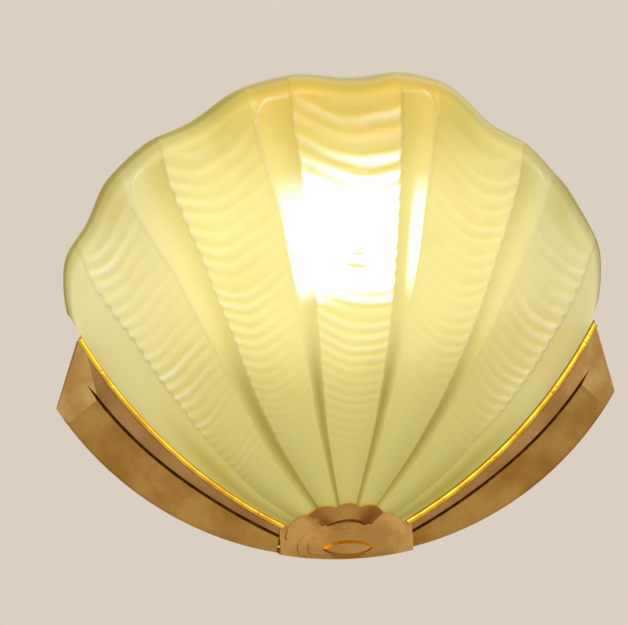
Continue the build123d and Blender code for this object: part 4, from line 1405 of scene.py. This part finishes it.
# ------------------------------------------------------------------ cradle
@dataclass
class Cradle:
    """The gilt crescent: two arms, the bright strips on their lips, the boss and the seats."""

    tip: tuple = (127.8, 18.5)
    lip_inner: tuple = (30.0, -77.6)
    lip_bow: float = 0.0714
    lip_cover: float = 4.5
    rim_depth: float = 20.0
    rim_fall: float = 0.8
    band_tip: float = 10.6
    band_hub: float = 6.2
    groove_half: float = 0.8
    strip_width: float = 2.9
    strip_height: float = 1.5
    strip_start_x: float = 30.2
    strip_rings: int = 420
    strip_steps: int = 11
    strip_end_angle: float = 0.007
    solder_gap: float = 0.02
    bead_gap: float = 0.06
    bead_side: float = 0.04
    waver: float = 0.03
    waver_points: int = 40
    dents: int = 7
    dent_range: tuple = (0.12, 0.34)
    dent_share: float = 0.004
    wear_mm: float = 0.45
    front_faces: float = -0.3
    # Which faces of the mitred ends get the painted highlight.
    end_lean: float = 0.42
    end_fall: float = -0.22
    end_face: float = -0.6
    # Boss faces facing up and forward by these amounts get the bright finish as a painted highlight.
    lip_rise: float = 0.35
    lip_front: float = 0.3

    def lip_arc(self) -> tuple[float, float, float]:
        """Arc of the right arm's lip.

        Returns:
            Centre X, centre Z and radius.
        """
        dx, dz = self.lip_inner[0] - self.tip[0], self.lip_inner[1] - self.tip[1]
        middle_x = (self.tip[0] + self.lip_inner[0]) / 2 - dz * self.lip_bow
        middle_z = (self.tip[1] + self.lip_inner[1]) / 2 + dx * self.lip_bow
        return circle_through(self.tip, (middle_x, middle_z), self.lip_inner)

    def lip_ends(self) -> tuple[float, float]:
        """Angles about the lip arc's centre of its outer and its inner end."""
        x, z, radius = self.lip_arc()
        return atan2(self.tip[1] - z, self.tip[0] - x), -acos((self.lip_inner[0] - x) / radius)

    def band_width(self, angle: float) -> float:
        """Width of the flat rim band at an angle about the lip arc's centre; it is full after two thirds.

        Args:
            angle: The angle.

        Returns:
            The width in millimetres.
        """
        outer, inner = self.lip_ends()
        share = min(max((angle - inner) / (outer - inner) * 1.5, 0.0), 1.0)
        return self.band_hub + (self.band_tip - self.band_hub) * share

    def tone(self, centre: Vector, normal: Vector) -> MetalFinish:
        """Finish of one face of an arm.

        Args:
            centre: The face's centre in millimetres.
            normal: The face's normal.

        Returns:
            Its finish.
        """
        x, z, radius = self.lip_arc()
        dx, dz, depth = abs(centre.x) - x, centre.z - z, -centre.y
        out, band = hypot(dx, dz) - radius, self.band_width(atan2(dz, dx))
        if normal.y <= self.front_faces and depth >= self.rim_depth - 4:
            # The groove's faces get painted shade.
            if abs(out - band) < self.groove_half and depth < self.rim_depth - self.rim_fall:
                return GROOVE
            if -0.1 < out < band - self.groove_half:
                return GILT_BAND
        # Mitred end faces turned to the side and front get the painted highlight.
        mitred = abs(normal.x) > self.end_lean and normal.z > self.end_fall and normal.y < self.end_face
        return GILT_END_HIGHLIGHT if mitred else GILT

    def tone_faces(self, piece: Piece) -> None:
        """Gives the rim band its own tone, the groove its painted shade and the mitred end its painted
        highlight.

        Args:
            piece: The arm.
        """
        finishes = (GILT, GILT_BAND, GROOVE, GILT_END_HIGHLIGHT)
        for finish in finishes:
            piece.data.materials.append(wardrobe.material(finish))
        for face in piece.data.polygons:
            face.material_index = finishes.index(self.tone(face.center / MM, face.normal))

    def strip(self, side: int) -> Piece:
        """Builds the polished strip that is soldered along a lip, with its small dents.

        Args:
            side: 1 for the right arm and -1 for the left.

        Returns:
            The piece.
        """
        x, z, radius = self.lip_arc()
        start = -acos((self.strip_start_x - x) / radius)
        turn = np.linspace(start, self.lip_ends()[0] - self.strip_end_angle, self.strip_rings)
        share = np.linspace(0, 1, self.strip_rings)
        rng = np.random.default_rng(7 + side)
        waves = rng.normal(0, self.waver, self.waver_points)
        waver = np.interp(share, np.linspace(0, 1, self.waver_points), waves)
        height = np.full(self.strip_rings, self.strip_height - self.bead_gap)
        places = rng.uniform(0.04, 0.96, self.dents)
        for place, size in zip(places, rng.uniform(*self.dent_range, self.dents)):
            height -= size * np.exp(-(((share - place) / self.dent_share) ** 2))
        half = self.strip_width / 2
        points = []
        for k in range(self.strip_rings):
            for step in np.linspace(0, pi, self.strip_steps):
                across = half - (half - self.bead_side) * cos(step)
                if 0 < step < pi:
                    across += waver[k] * sin(step)
                depth = self.rim_depth + self.solder_gap + height[k] * sin(step) ** 0.75
                reach = radius + across
                points.append((side * (x + reach * cos(turn[k])), -depth, z + reach * sin(turn[k])))
        last = (self.strip_rings - 1) * self.strip_steps
        faces = grid_faces(self.strip_rings, self.strip_steps, closed=True)
        faces.append(tuple(range(self.strip_steps)))
        faces.append(tuple(range(last, last + self.strip_steps))[::-1])
        piece = piece_from(f"lip_strip_{'right' if side > 0 else 'left'}", np.array(points), faces)
        turn_outward(piece)
        shade_by_angle(piece, 50)
        return piece

    def build(self) -> None:
        """Builds and dresses the castings, the strips and the seats."""
        for side, name in ((-1, "left"), (1, "right")):
            arm = merged_copy(f"cradle_arm_{name}", f"cradle_casting_{name}")
            self.tone_faces(arm)
            round_edges(arm, self.wear_mm, 20, GILT_EDGE)
            finish_piece(arm, "fitting", GILT, "gilt_brass", f"cradle_arm_{name}")
            # The strips' bright yellow is partly a painted reflection of the lit glass.
            finish_piece(self.strip(side), "fitting", BRIGHT, "bright_brass", f"edge_strip_{name}")
            pad = softened_copy(f"seat_pad_{name}", 0.5, f"felt_seat_{name}")
            finish_piece(pad, "fitting", FELT, "brown_felt", f"seat_pad_{name}")
        boss = merged_copy("centre_boss", "boss_casting")
        for finish in (GILT_BOSS, BRIGHT):
            boss.data.materials.append(wardrobe.material(finish))
        for face in boss.data.polygons:
            # Up-facing faces of the boss's lip get the bright finish: a painted highlight.
            face.material_index = int(face.normal.z > self.lip_rise and face.normal.y < self.lip_front)
        round_edges(boss, self.wear_mm, 20, GILT_EDGE)
        finish_piece(boss, "fitting", GILT_BOSS, "gilt_brass", "centre_boss")
        pad = softened_copy("seat_pad_centre", 0.5, "felt_seat_centre")
        finish_piece(pad, "fitting", FELT, "brown_felt", "seat_pad_centre")
        shelf = softened_copy("hub_shelf", 0.25, "hub_shelf_bent")
        finish_piece(shelf, "fitting", ZINC, "plated_steel", "hub_shelf")


# ------------------------------------------------------------------ everything inside
@dataclass
class Lathe:
    """Turns profiles about an axis. A profile's points are radii and heights in millimetres."""

    base: Vector
    axis: Vector
    steps: int = 96

    def turn(self, name: str, profile: Sequence, wave: Optional[Callable] = None) -> Piece:
        """Turns one closed profile.

        Args:
            name: Name of the piece.
            profile: Radii and heights, in order round the section.
            wave: Changes the radii for a height and an angle, as a thread or a knurl does.

        Returns:
            The piece.
        """
        across = self.axis.orthogonal().normalized()
        other = self.axis.cross(across)
        radius, height = (np.array([p[i] for p in profile], float)[:, None] for i in (0, 1))
        angle = np.linspace(0, 2 * pi, self.steps, endpoint=False)[None, :]
        if wave:
            radius = wave(radius + 0 * angle, height + 0 * angle, angle + 0 * radius)
        reaches = (radius * np.cos(angle), radius * np.sin(angle), height + 0 * angle)
        points = np.array(self.base)
        for reach, side in zip(reaches, (across, other, self.axis)):
            points = points + reach[..., None] * np.array(side)
        rows = len(profile)
        faces = grid_faces(rows, self.steps, closed=True)
        last = (rows - 1) * self.steps
        faces += [(last + i, last + (i + 1) % self.steps, (i + 1) % self.steps, i) for i in range(self.steps)]
        piece = piece_from(name, points.reshape(-1, 3), faces)
        turn_outward(piece)
        shade_by_angle(piece, 32)
        return piece


def islands(node: str) -> list[tuple[np.ndarray, np.ndarray]]:
    """Corners, in millimetres, of each separate solid in a node.

    Args:
        node: Name of the node.

    Returns:
        The lowest and the highest corner of each, from left to right.
    """
    shape = bmesh.new()
    shape.from_mesh(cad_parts[node].data)
    bmesh.ops.remove_doubles(shape, verts=shape.verts, dist=2e-6)
    left, found = set(shape.verts), []
    while left:
        front = [left.pop()]
        group = []
        while front:
            point = front.pop()
            group.append(tuple(point.co / MM))
            near = {edge.other_vert(point) for edge in point.link_edges} & left
            left -= near
            front += near
        found.append((np.min(group, 0), np.max(group, 0)))
    shape.free()
    return sorted(found, key=lambda box: tuple(np.round(box[0], 2)))


@dataclass(frozen=True)
class HeadShape:
    """Head and shank of a fastener, head up, with its seat or top at height 0."""

    profile: tuple
    slot_width: float = 0.0
    slot_top: float = 0.0
    slot_depth: float = 0.0
    steps: int = 40

    def build(self) -> Piece:
        """Turns the fastener and cuts its slot.

        Returns:
            The fastener, at the origin.
        """
        made = Lathe(Vector((0, 0, 0)), Vector((0, 0, 1)), self.steps).turn("fastener_pattern", self.profile)
        if self.slot_width:
            long, w = 9, self.slot_width / 2
            low, high = self.slot_top - self.slot_depth, self.slot_top + 1
            outline = ((-long, -w), (long, -w), (long, w), (-long, w))
            corners = [(x, y, z) for z in (low, high) for x, y in outline]
            sides = [(0, 3, 2, 1), (4, 5, 6, 7), (0, 1, 5, 4), (1, 2, 6, 5), (2, 3, 7, 6), (3, 0, 4, 7)]
            cutter = piece_from("slot_cutter", np.array(corners), sides, smooth=False)
            cut = made.modifiers.new("slot", "BOOLEAN")
            cut.operation, cut.object = "DIFFERENCE", cutter
            settle(made)
            bpy.data.objects.remove(cutter)
        return made


def pan_head(radius: float, height: float, shank: float, length: float) -> HeadShape:
    """Slotted pan head whose seat is at height 0.

    Args:
        radius: Radius of the head.
        height: Height of the head.
        shank: Radius of the shank.
        length: Length of the shank.

    Returns:
        The head's shape.
    """
    top = radius - height * 0.21
    profile = ((0, height), (top - 0.7, height), (top - 0.2, height - 0.15), (top, height - 0.5), (radius, 0))
    return HeadShape(profile + ((shank, 0), (shank, -length), (0, -length)), 0.8, height, 0.8)


BACKWARD, FORWARD = Vector((0, 1, 0)), Vector((0, -1, 0))
COUNTERSUNK = HeadShape(
    ((0, 0), (2.8, 0), (1.6, -1.2), (1.45, -1.3), (1.45, -8.2), (1.1, -8.45), (0, -8.45)), 0.7, 0, 0.6
)
RIVET_DOME = ((0, 1.3), (0.9, 1.26), (1.7, 1.05), (2.35, 0.65), (2.75, 0.1), (2.75, 0))
RIVET_HEAD = HeadShape(RIVET_DOME + ((1.5, 0), (1.5, -2.9), (0, -2.9)))
CLAMP = HeadShape(((0, 5.6), (1.2, 5.6), (1.5, 5.3), (1.5, 0.2), (1.2, 0), (0, 0)), 0.6, 5.6, 0.8)

# Node, head, the way the head faces, how far the seat lies below the node's end on that side, finish, slot.
FASTENERS = (
    ("casting_screws", COUNTERSUNK, BACKWARD, 0.0, SCREW, "screw_steel"),
    ("shelf_rivets", RIVET_HEAD, FORWARD, 1.3, RIVET, "aluminium"),
    ("bracket_screws", pan_head(3.75, 2.4, 1.9, 3.3), FORWARD, 2.4, SCREW, "screw_steel"),
    ("terminal_clamp_screws", CLAMP, FORWARD, 5.6, SCREW, "screw_steel"),
    ("terminal_fixing_screw", pan_head(2.85, 1.8, 1.85, 5.3), FORWARD, 1.8, SCREW, "screw_steel"),
)

# Node, finish, material slot, width of the rounded edges.
SOFTENED = (
    ("back_plate", ZINC, "plated_steel", 0.3),
    ("cable_grommet", RUBBER, "black_rubber", 0.3),
    ("lamp_bracket", ZINC, "plated_steel", 0.2),
    ("nipple_washer", SCREW, "screw_steel", 0.12),
    ("nipple_nut", BRIGHT, "bright_brass", 0.3),
    ("holder_core", PORCELAIN, "porcelain", 0.25),
    ("holder_screw_shell", BRIGHT, "bright_brass", 0.1),
    ("holder_contact", BRIGHT, "bright_brass", 0.12),
    ("holder_terminal_screws", BRIGHT, "bright_brass", 0.12),
    ("bulb_contact", SOLDER, "solder", 0.2),
    ("bulb_insulator", VITRITE, "black_glass", 0.2),
    ("terminal_block", PLASTIC, "white_plastic", 0.4),
    ("earth_washer", BRIGHT, "bright_brass", 0.12),
    ("earth_screw", BRIGHT, "bright_brass", 0.2),
)


@dataclass
class Inside:
    """What the shell hides: the plate, the lampholder, the lamp and the terminals."""

    lamp_depth: float = 40.0
    lamp_z: float = 60.0
    lamp_tilt: float = 10.0
    globe_height: float = 73.5
    globe_radius: float = 22.5
    globe_wall: float = 0.9
    globe_flare: float = 40.0
    globe_pull: float = 14.0
    neck_radius: float = 7.6
    neck_level: float = 46.2
    cap_inner: float = 5.9
    cap_radius: float = 6.9
    cap_base: float = 22.0
    holder_radius: float = 13.8
    holder_inner: float = 12.4
    holder_length: float = 52.0
    entry_radius: float = 4.95
    cap_height: float = 15.0
    rib_heights: tuple = (21.0, 47.0)
    rib_half: float = 1.1
    rib_depth: float = 0.4
    knurl_teeth: int = 32
    knurl_depth: float = 0.35
    lamp_pitch: float = 2.82
    nipple_pitch: float = 1.0
    steps: int = 128

    def lathe(self) -> Lathe:
        """Lathe about the lamp's own axis, from the holder's seat.

        Returns:
            The lathe.
        """
        axis = Vector((0, -sin(radians(self.lamp_tilt)), cos(radians(self.lamp_tilt))))
        base = Vector((0, -self.lamp_depth, self.lamp_z)) - axis * self.globe_height
        return Lathe(base, axis, self.steps)

    def globe(self) -> list[tuple[float, float]]:
        """Section of the lamp's glass: up its outside and down its inside.

        Returns:
            Radii and heights, in order round the section.
        """
        flare, pull = radians(self.globe_flare), self.globe_pull
        start = np.array([self.neck_radius, self.neck_level + 2])
        join = np.array([self.globe_radius * cos(flare), self.globe_height - self.globe_radius * sin(flare)])
        t = np.linspace(0, 1, 15)[:, None]
        leave, arrive = np.array([0, pull]), np.array([sin(flare), cos(flare)]) * pull
        curve = (2 * t**3 - 3 * t**2 + 1) * start + (t**3 - 2 * t**2 + t) * leave
        curve = curve + (3 * t**2 - 2 * t**3) * join + (t**3 - t**2) * arrive
        turns = np.linspace(-flare, pi / 2, 40)[1:]
        ball = np.stack([np.cos(turns), np.sin(turns)], -1) * self.globe_radius
        ball += (0.0, self.globe_height)
        outside = np.concatenate([[[self.neck_radius, self.neck_level]], curve, ball])
        outside[-1, 0] = 0.0
        along = np.gradient(outside, axis=0)
        normal = np.stack([along[:, 1], -along[:, 0]], -1)
        normal /= np.linalg.norm(normal, axis=-1, keepdims=True)
        inside = outside - normal * self.globe_wall
        inside[0] = (self.neck_radius - self.globe_wall, self.neck_level)
        inside[-1] = (0.0, self.globe_height + self.globe_radius - self.globe_wall)
        return [tuple(p) for p in outside] + [tuple(p) for p in inside[::-1]]

    def thread(self, pitch: float, low: float, high: float, depth: float, above: float) -> Callable:
        """Round thread on the points outside a radius, between two heights.

        Args:
            pitch: Rise of a turn.
            low: Where the thread runs out below.
            high: Where it runs out above.
            depth: Its depth.
            above: Only points further out than this are threaded.

        Returns:
            The change of radius, for Lathe.turn.
        """

        def wave(radius: np.ndarray, height: np.ndarray, angle: np.ndarray) -> np.ndarray:
            """Sinks the radius between the thread's crests.

            Args:
                radius: Radii of the profile.
                height: Heights of its points.
                angle: Angles of the turn.

            Returns:
                The changed radii.
            """
            groove = 0.5 - 0.5 * np.cos(2 * pi * height / pitch - angle)
            fade = ease((height - low) / 1.5) * ease((high - height) / 1.5)
            return radius - depth * groove * fade * (radius > above)

        return wave

    def knurl(self, radius: np.ndarray, height: np.ndarray, angle: np.ndarray) -> np.ndarray:
        """Sinks the finger grip into the holder's cap.

        Args:
            radius: Radii of the profile.
            height: Heights of its points.
            angle: Angles of the turn.

        Returns:
            The changed radii.
        """
        fade = ease((height - 5) / 0.8) * ease((12 - height) / 0.8)
        teeth = 0.5 - 0.5 * np.cos(self.knurl_teeth * angle)
        return radius - self.knurl_depth * teeth * fade * (radius > self.holder_radius - 0.6)

    def ribbed(self, height: float) -> float:
        """Radius of the holder's sleeve, sunk where a rolled rib lies."""
        away = min(abs(height - rib) for rib in self.rib_heights) / self.rib_half
        return self.holder_radius - self.rib_depth * cos(min(away, 1.0) * pi / 2)

    def lamp(self) -> None:
        """Builds the lamp's glass and its threaded cap."""
        glass = self.lathe().turn("lamp_glass", self.globe())
        finish_piece(glass, "lamp", OPAL, "lit_glass", "bulb_envelope")
        base, top, inner, outer = self.cap_base, self.neck_level, self.cap_inner, self.cap_radius
        levels = np.linspace(base + 0.2, top - 2.4, 80)
        cap = [(inner, base), (outer - 0.4, base), *((outer, level) for level in levels), (outer, top - 2.0)]
        cap += [(outer + 1.0, top - 2.0), (outer + 1.2, top - 1.7), (outer + 1.2, top - 0.3)]
        cap += [(outer + 1.0, top), (inner, top)]
        thread = self.thread(self.lamp_pitch, base + 0.2, top - 3.2, 0.45, outer - 0.3)
        finish_piece(self.lathe().turn("lamp_cap", cap, thread), "lamp", NICKEL, "nickel_cap", "bulb_cap")

    def holder(self) -> None:
        """Builds the lampholder's knurled cap and its ribbed sleeve."""
        outer, inner, length = self.holder_radius, self.holder_inner, self.holder_length
        entry, levels = self.entry_radius, np.linspace(4.6, 12.4, 30)
        cup = [(entry, 0.0), (outer - 3.0, 0.0), (outer - 1.5, 0.45), (outer - 0.45, 1.5), (outer, 3.0)]
        cup += [*((outer, level) for level in levels), (outer, self.cap_height - 0.4)]
        cup += [(outer - 0.3, self.cap_height), (inner, self.cap_height), (inner, 2.0), (entry, 2.0)]
        piece = self.lathe().turn("holder_cup", cup, self.knurl)
        finish_piece(piece, "fitting", LACQUERED, "brass_holder", "holder_cap")
        bottom, throat = self.cap_height + 0.3, 8.5
        tube = [(outer - 0.3, bottom)]
        tube += [(self.ribbed(level), level) for level in np.linspace(bottom + 0.6, length - 1.0, 120)]
        tube += [(outer, length - 0.6), (outer - 0.2, length - 0.2), (outer - 0.6, length), (inner, length)]
        tube += [(inner, length - 6.5), (throat, length - 6.5), (throat, length - 7.7), (inner, length - 7.7)]
        piece = self.lathe().turn("holder_tube", tube + [(inner, bottom)])
        finish_piece(piece, "fitting", LACQUERED, "brass_holder", "holder_sleeve")

    def nipple(self) -> None:
        """Builds the hollow threaded entry of the lampholder."""
        bore, chamfer, crest = 3.5, 4.6, 4.9
        levels = np.linspace(-6.6, 4.2, 60)
        section = [(bore, -6.9), (chamfer, -6.9), *((crest, level) for level in levels)]
        section += [(chamfer, 4.5), (bore, 4.5)]
        thread = self.thread(self.nipple_pitch, -7.6, 5.2, 0.25, crest - 0.2)
        piece = self.lathe().turn("threaded_nipple", section, thread)
        finish_piece(piece, "fitting", BRIGHT, "bright_brass", "lamp_nipple")

    def build(self) -> None:
        """Builds and dresses the pieces."""
        self.lamp()
        self.holder()
        self.nipple()
        setter = Fasteners()
        for seed, (node, head, axis, seat, finish, slot) in enumerate(FASTENERS, start=3):
            points = []
            for low, high in islands(node):
                middle = (low + high) / 2
                depth = low[1] + seat if axis is FORWARD else high[1] - seat
                points.append((middle[0], depth, middle[2]))
            piece = setter.place(f"{node}_set", head.build(), points, axis, seed, finish)
            finish_piece(piece, "fitting", finish, slot, node)
        for node, finish, slot, edge in SOFTENED:
            body = "lamp" if node.startswith("bulb") else "fitting"
            finish_piece(softened_copy(node, edge, f"{node}_eased"), body, finish, slot, node)


# ------------------------------------------------------------------ studio
@dataclass
class Studio:
    """Pale floor, soft light and the camera at the photograph's angle."""

    floor_z: float = -330.0
    floor_half: float = 1500.0
    floor_behind: float = 420.0
    backdrop: str = "DBCFC1"
    ambient: str = "F2EEE8"
    ambient_strength: float = 0.55
    aim: tuple = (0.0, -45.0, 30.0)
    sensor_mm: float = 36.0
    yaw: float = 7.0
    roll: float = 1.66
    target_distance: float = 1500.0
    focal_pixels: float = 3092.0
    base_point: tuple = (0.0, -4.0, -90.0)
    base_pixel: tuple = (342.3, 545.0)
    picture: tuple = (628.0, 625.0)

    def build(self) -> None:
        """Makes the floor, the world, the lamps and the camera."""
        self.floor()
        self.world()
        self.lamps()
        self.camera()

    def floor(self) -> None:
        """Makes the plain pale floor."""
        wide, behind = self.floor_half, self.floor_behind
        corners = [(-wide, -wide), (wide, -wide), (wide, behind), (-wide, behind)]
        points = [(x, y, self.floor_z) for x, y in corners]
        floor = piece_from("floor", np.array(points), [(0, 1, 2, 3)])
        wardrobe.dress(floor, FLOOR)

    def world(self) -> None:
        """Makes an even pale surround."""
        world = bpy.data.worlds.new("pale studio")
        bpy.context.scene.world = world
        world.use_nodes = True
        tree = world.node_tree
        tree.nodes.clear()
        path = add(tree, "ShaderNodeLightPath")
        seen = add(tree, Step.MAXIMUM, path.outputs["Is Camera Ray"], path.outputs["Is Transmission Ray"])
        light = add(tree, "ShaderNodeBackground", {0: linear(self.ambient), 1: self.ambient_strength})
        back = add(tree, "ShaderNodeBackground", {0: linear(self.backdrop), 1: 1.0})
        mixed = add(tree, "ShaderNodeMixShader", {0: seen, 1: light, 2: back})
        add(tree, "ShaderNodeOutputWorld", {0: mixed})

    def lamps(self) -> None:
        """Hangs the soft lamps."""
        self.lamp("key", (-550, -1000, 800), 900, 9.0)
        self.lamp("fill", (700, -1300, 500), 1200, 6.0)
        self.lamp("back", (200, 700, 600), 900, 3.0)

    def lamp(self, name: str, place: tuple, size: float, power: float) -> None:
        """Hangs one square lamp that faces the light.

        Args:
            name: Its name.
            place: Where it hangs, in millimetres.
            size: Its side, in millimetres.
            power: Its power in watts.
        """
        data = bpy.data.lights.new(name, "AREA")
        data.size = size * MM
        data.energy = power
        lamp = bpy.data.objects.new(name, data)
        bpy.context.scene.collection.objects.link(lamp)
        lamp.location = Vector(place) * MM
        toward = Vector(self.aim) * MM - lamp.location
        lamp.rotation_euler = toward.to_track_quat("-Z", "Y").to_euler()

    def camera(self) -> None:
        """Sets the camera so that the base of the boss falls on its pixel."""
        turn, lean = radians(self.yaw), radians(self.roll)
        ahead = Vector((sin(turn), cos(turn), 0))
        right = Vector((cos(turn), -sin(turn), 0))
        up = right.cross(ahead)
        picture_right = right * cos(lean) - up * sin(lean)
        picture_up = right * sin(lean) + up * cos(lean)
        base = Vector(self.base_point)
        far = self.target_distance + (base - Vector(self.aim)).dot(ahead)
        across = (self.base_pixel[0] - self.picture[0] / 2) * far / self.focal_pixels
        down = (self.base_pixel[1] - self.picture[1] / 2) * far / self.focal_pixels
        place = base - ahead * far - picture_right * across + picture_up * down
        data = bpy.data.cameras.new("photograph camera")
        data.sensor_width = self.sensor_mm
        data.lens = self.focal_pixels * self.sensor_mm / self.picture[0]
        data.clip_start, data.clip_end = 0.05, 20.0
        camera = bpy.data.objects.new("photograph camera", data)
        bpy.context.scene.collection.objects.link(camera)
        axes = Matrix((picture_right, picture_up, -ahead)).transposed()
        camera.matrix_world = Matrix.Translation(place * MM) @ axes.to_4x4()
        bpy.context.scene.camera = camera


def main() -> None:
    """Builds the light and the studio in order."""
    logging.basicConfig(level=logging.INFO, format="%(name)s %(message)s")
    GlassShade().dress()
    Cradle().build()
    Inside().build()
    Studio().build()
    bpy.context.scene.view_settings.view_transform = "Standard"


if __name__ == "__main__":
    main()
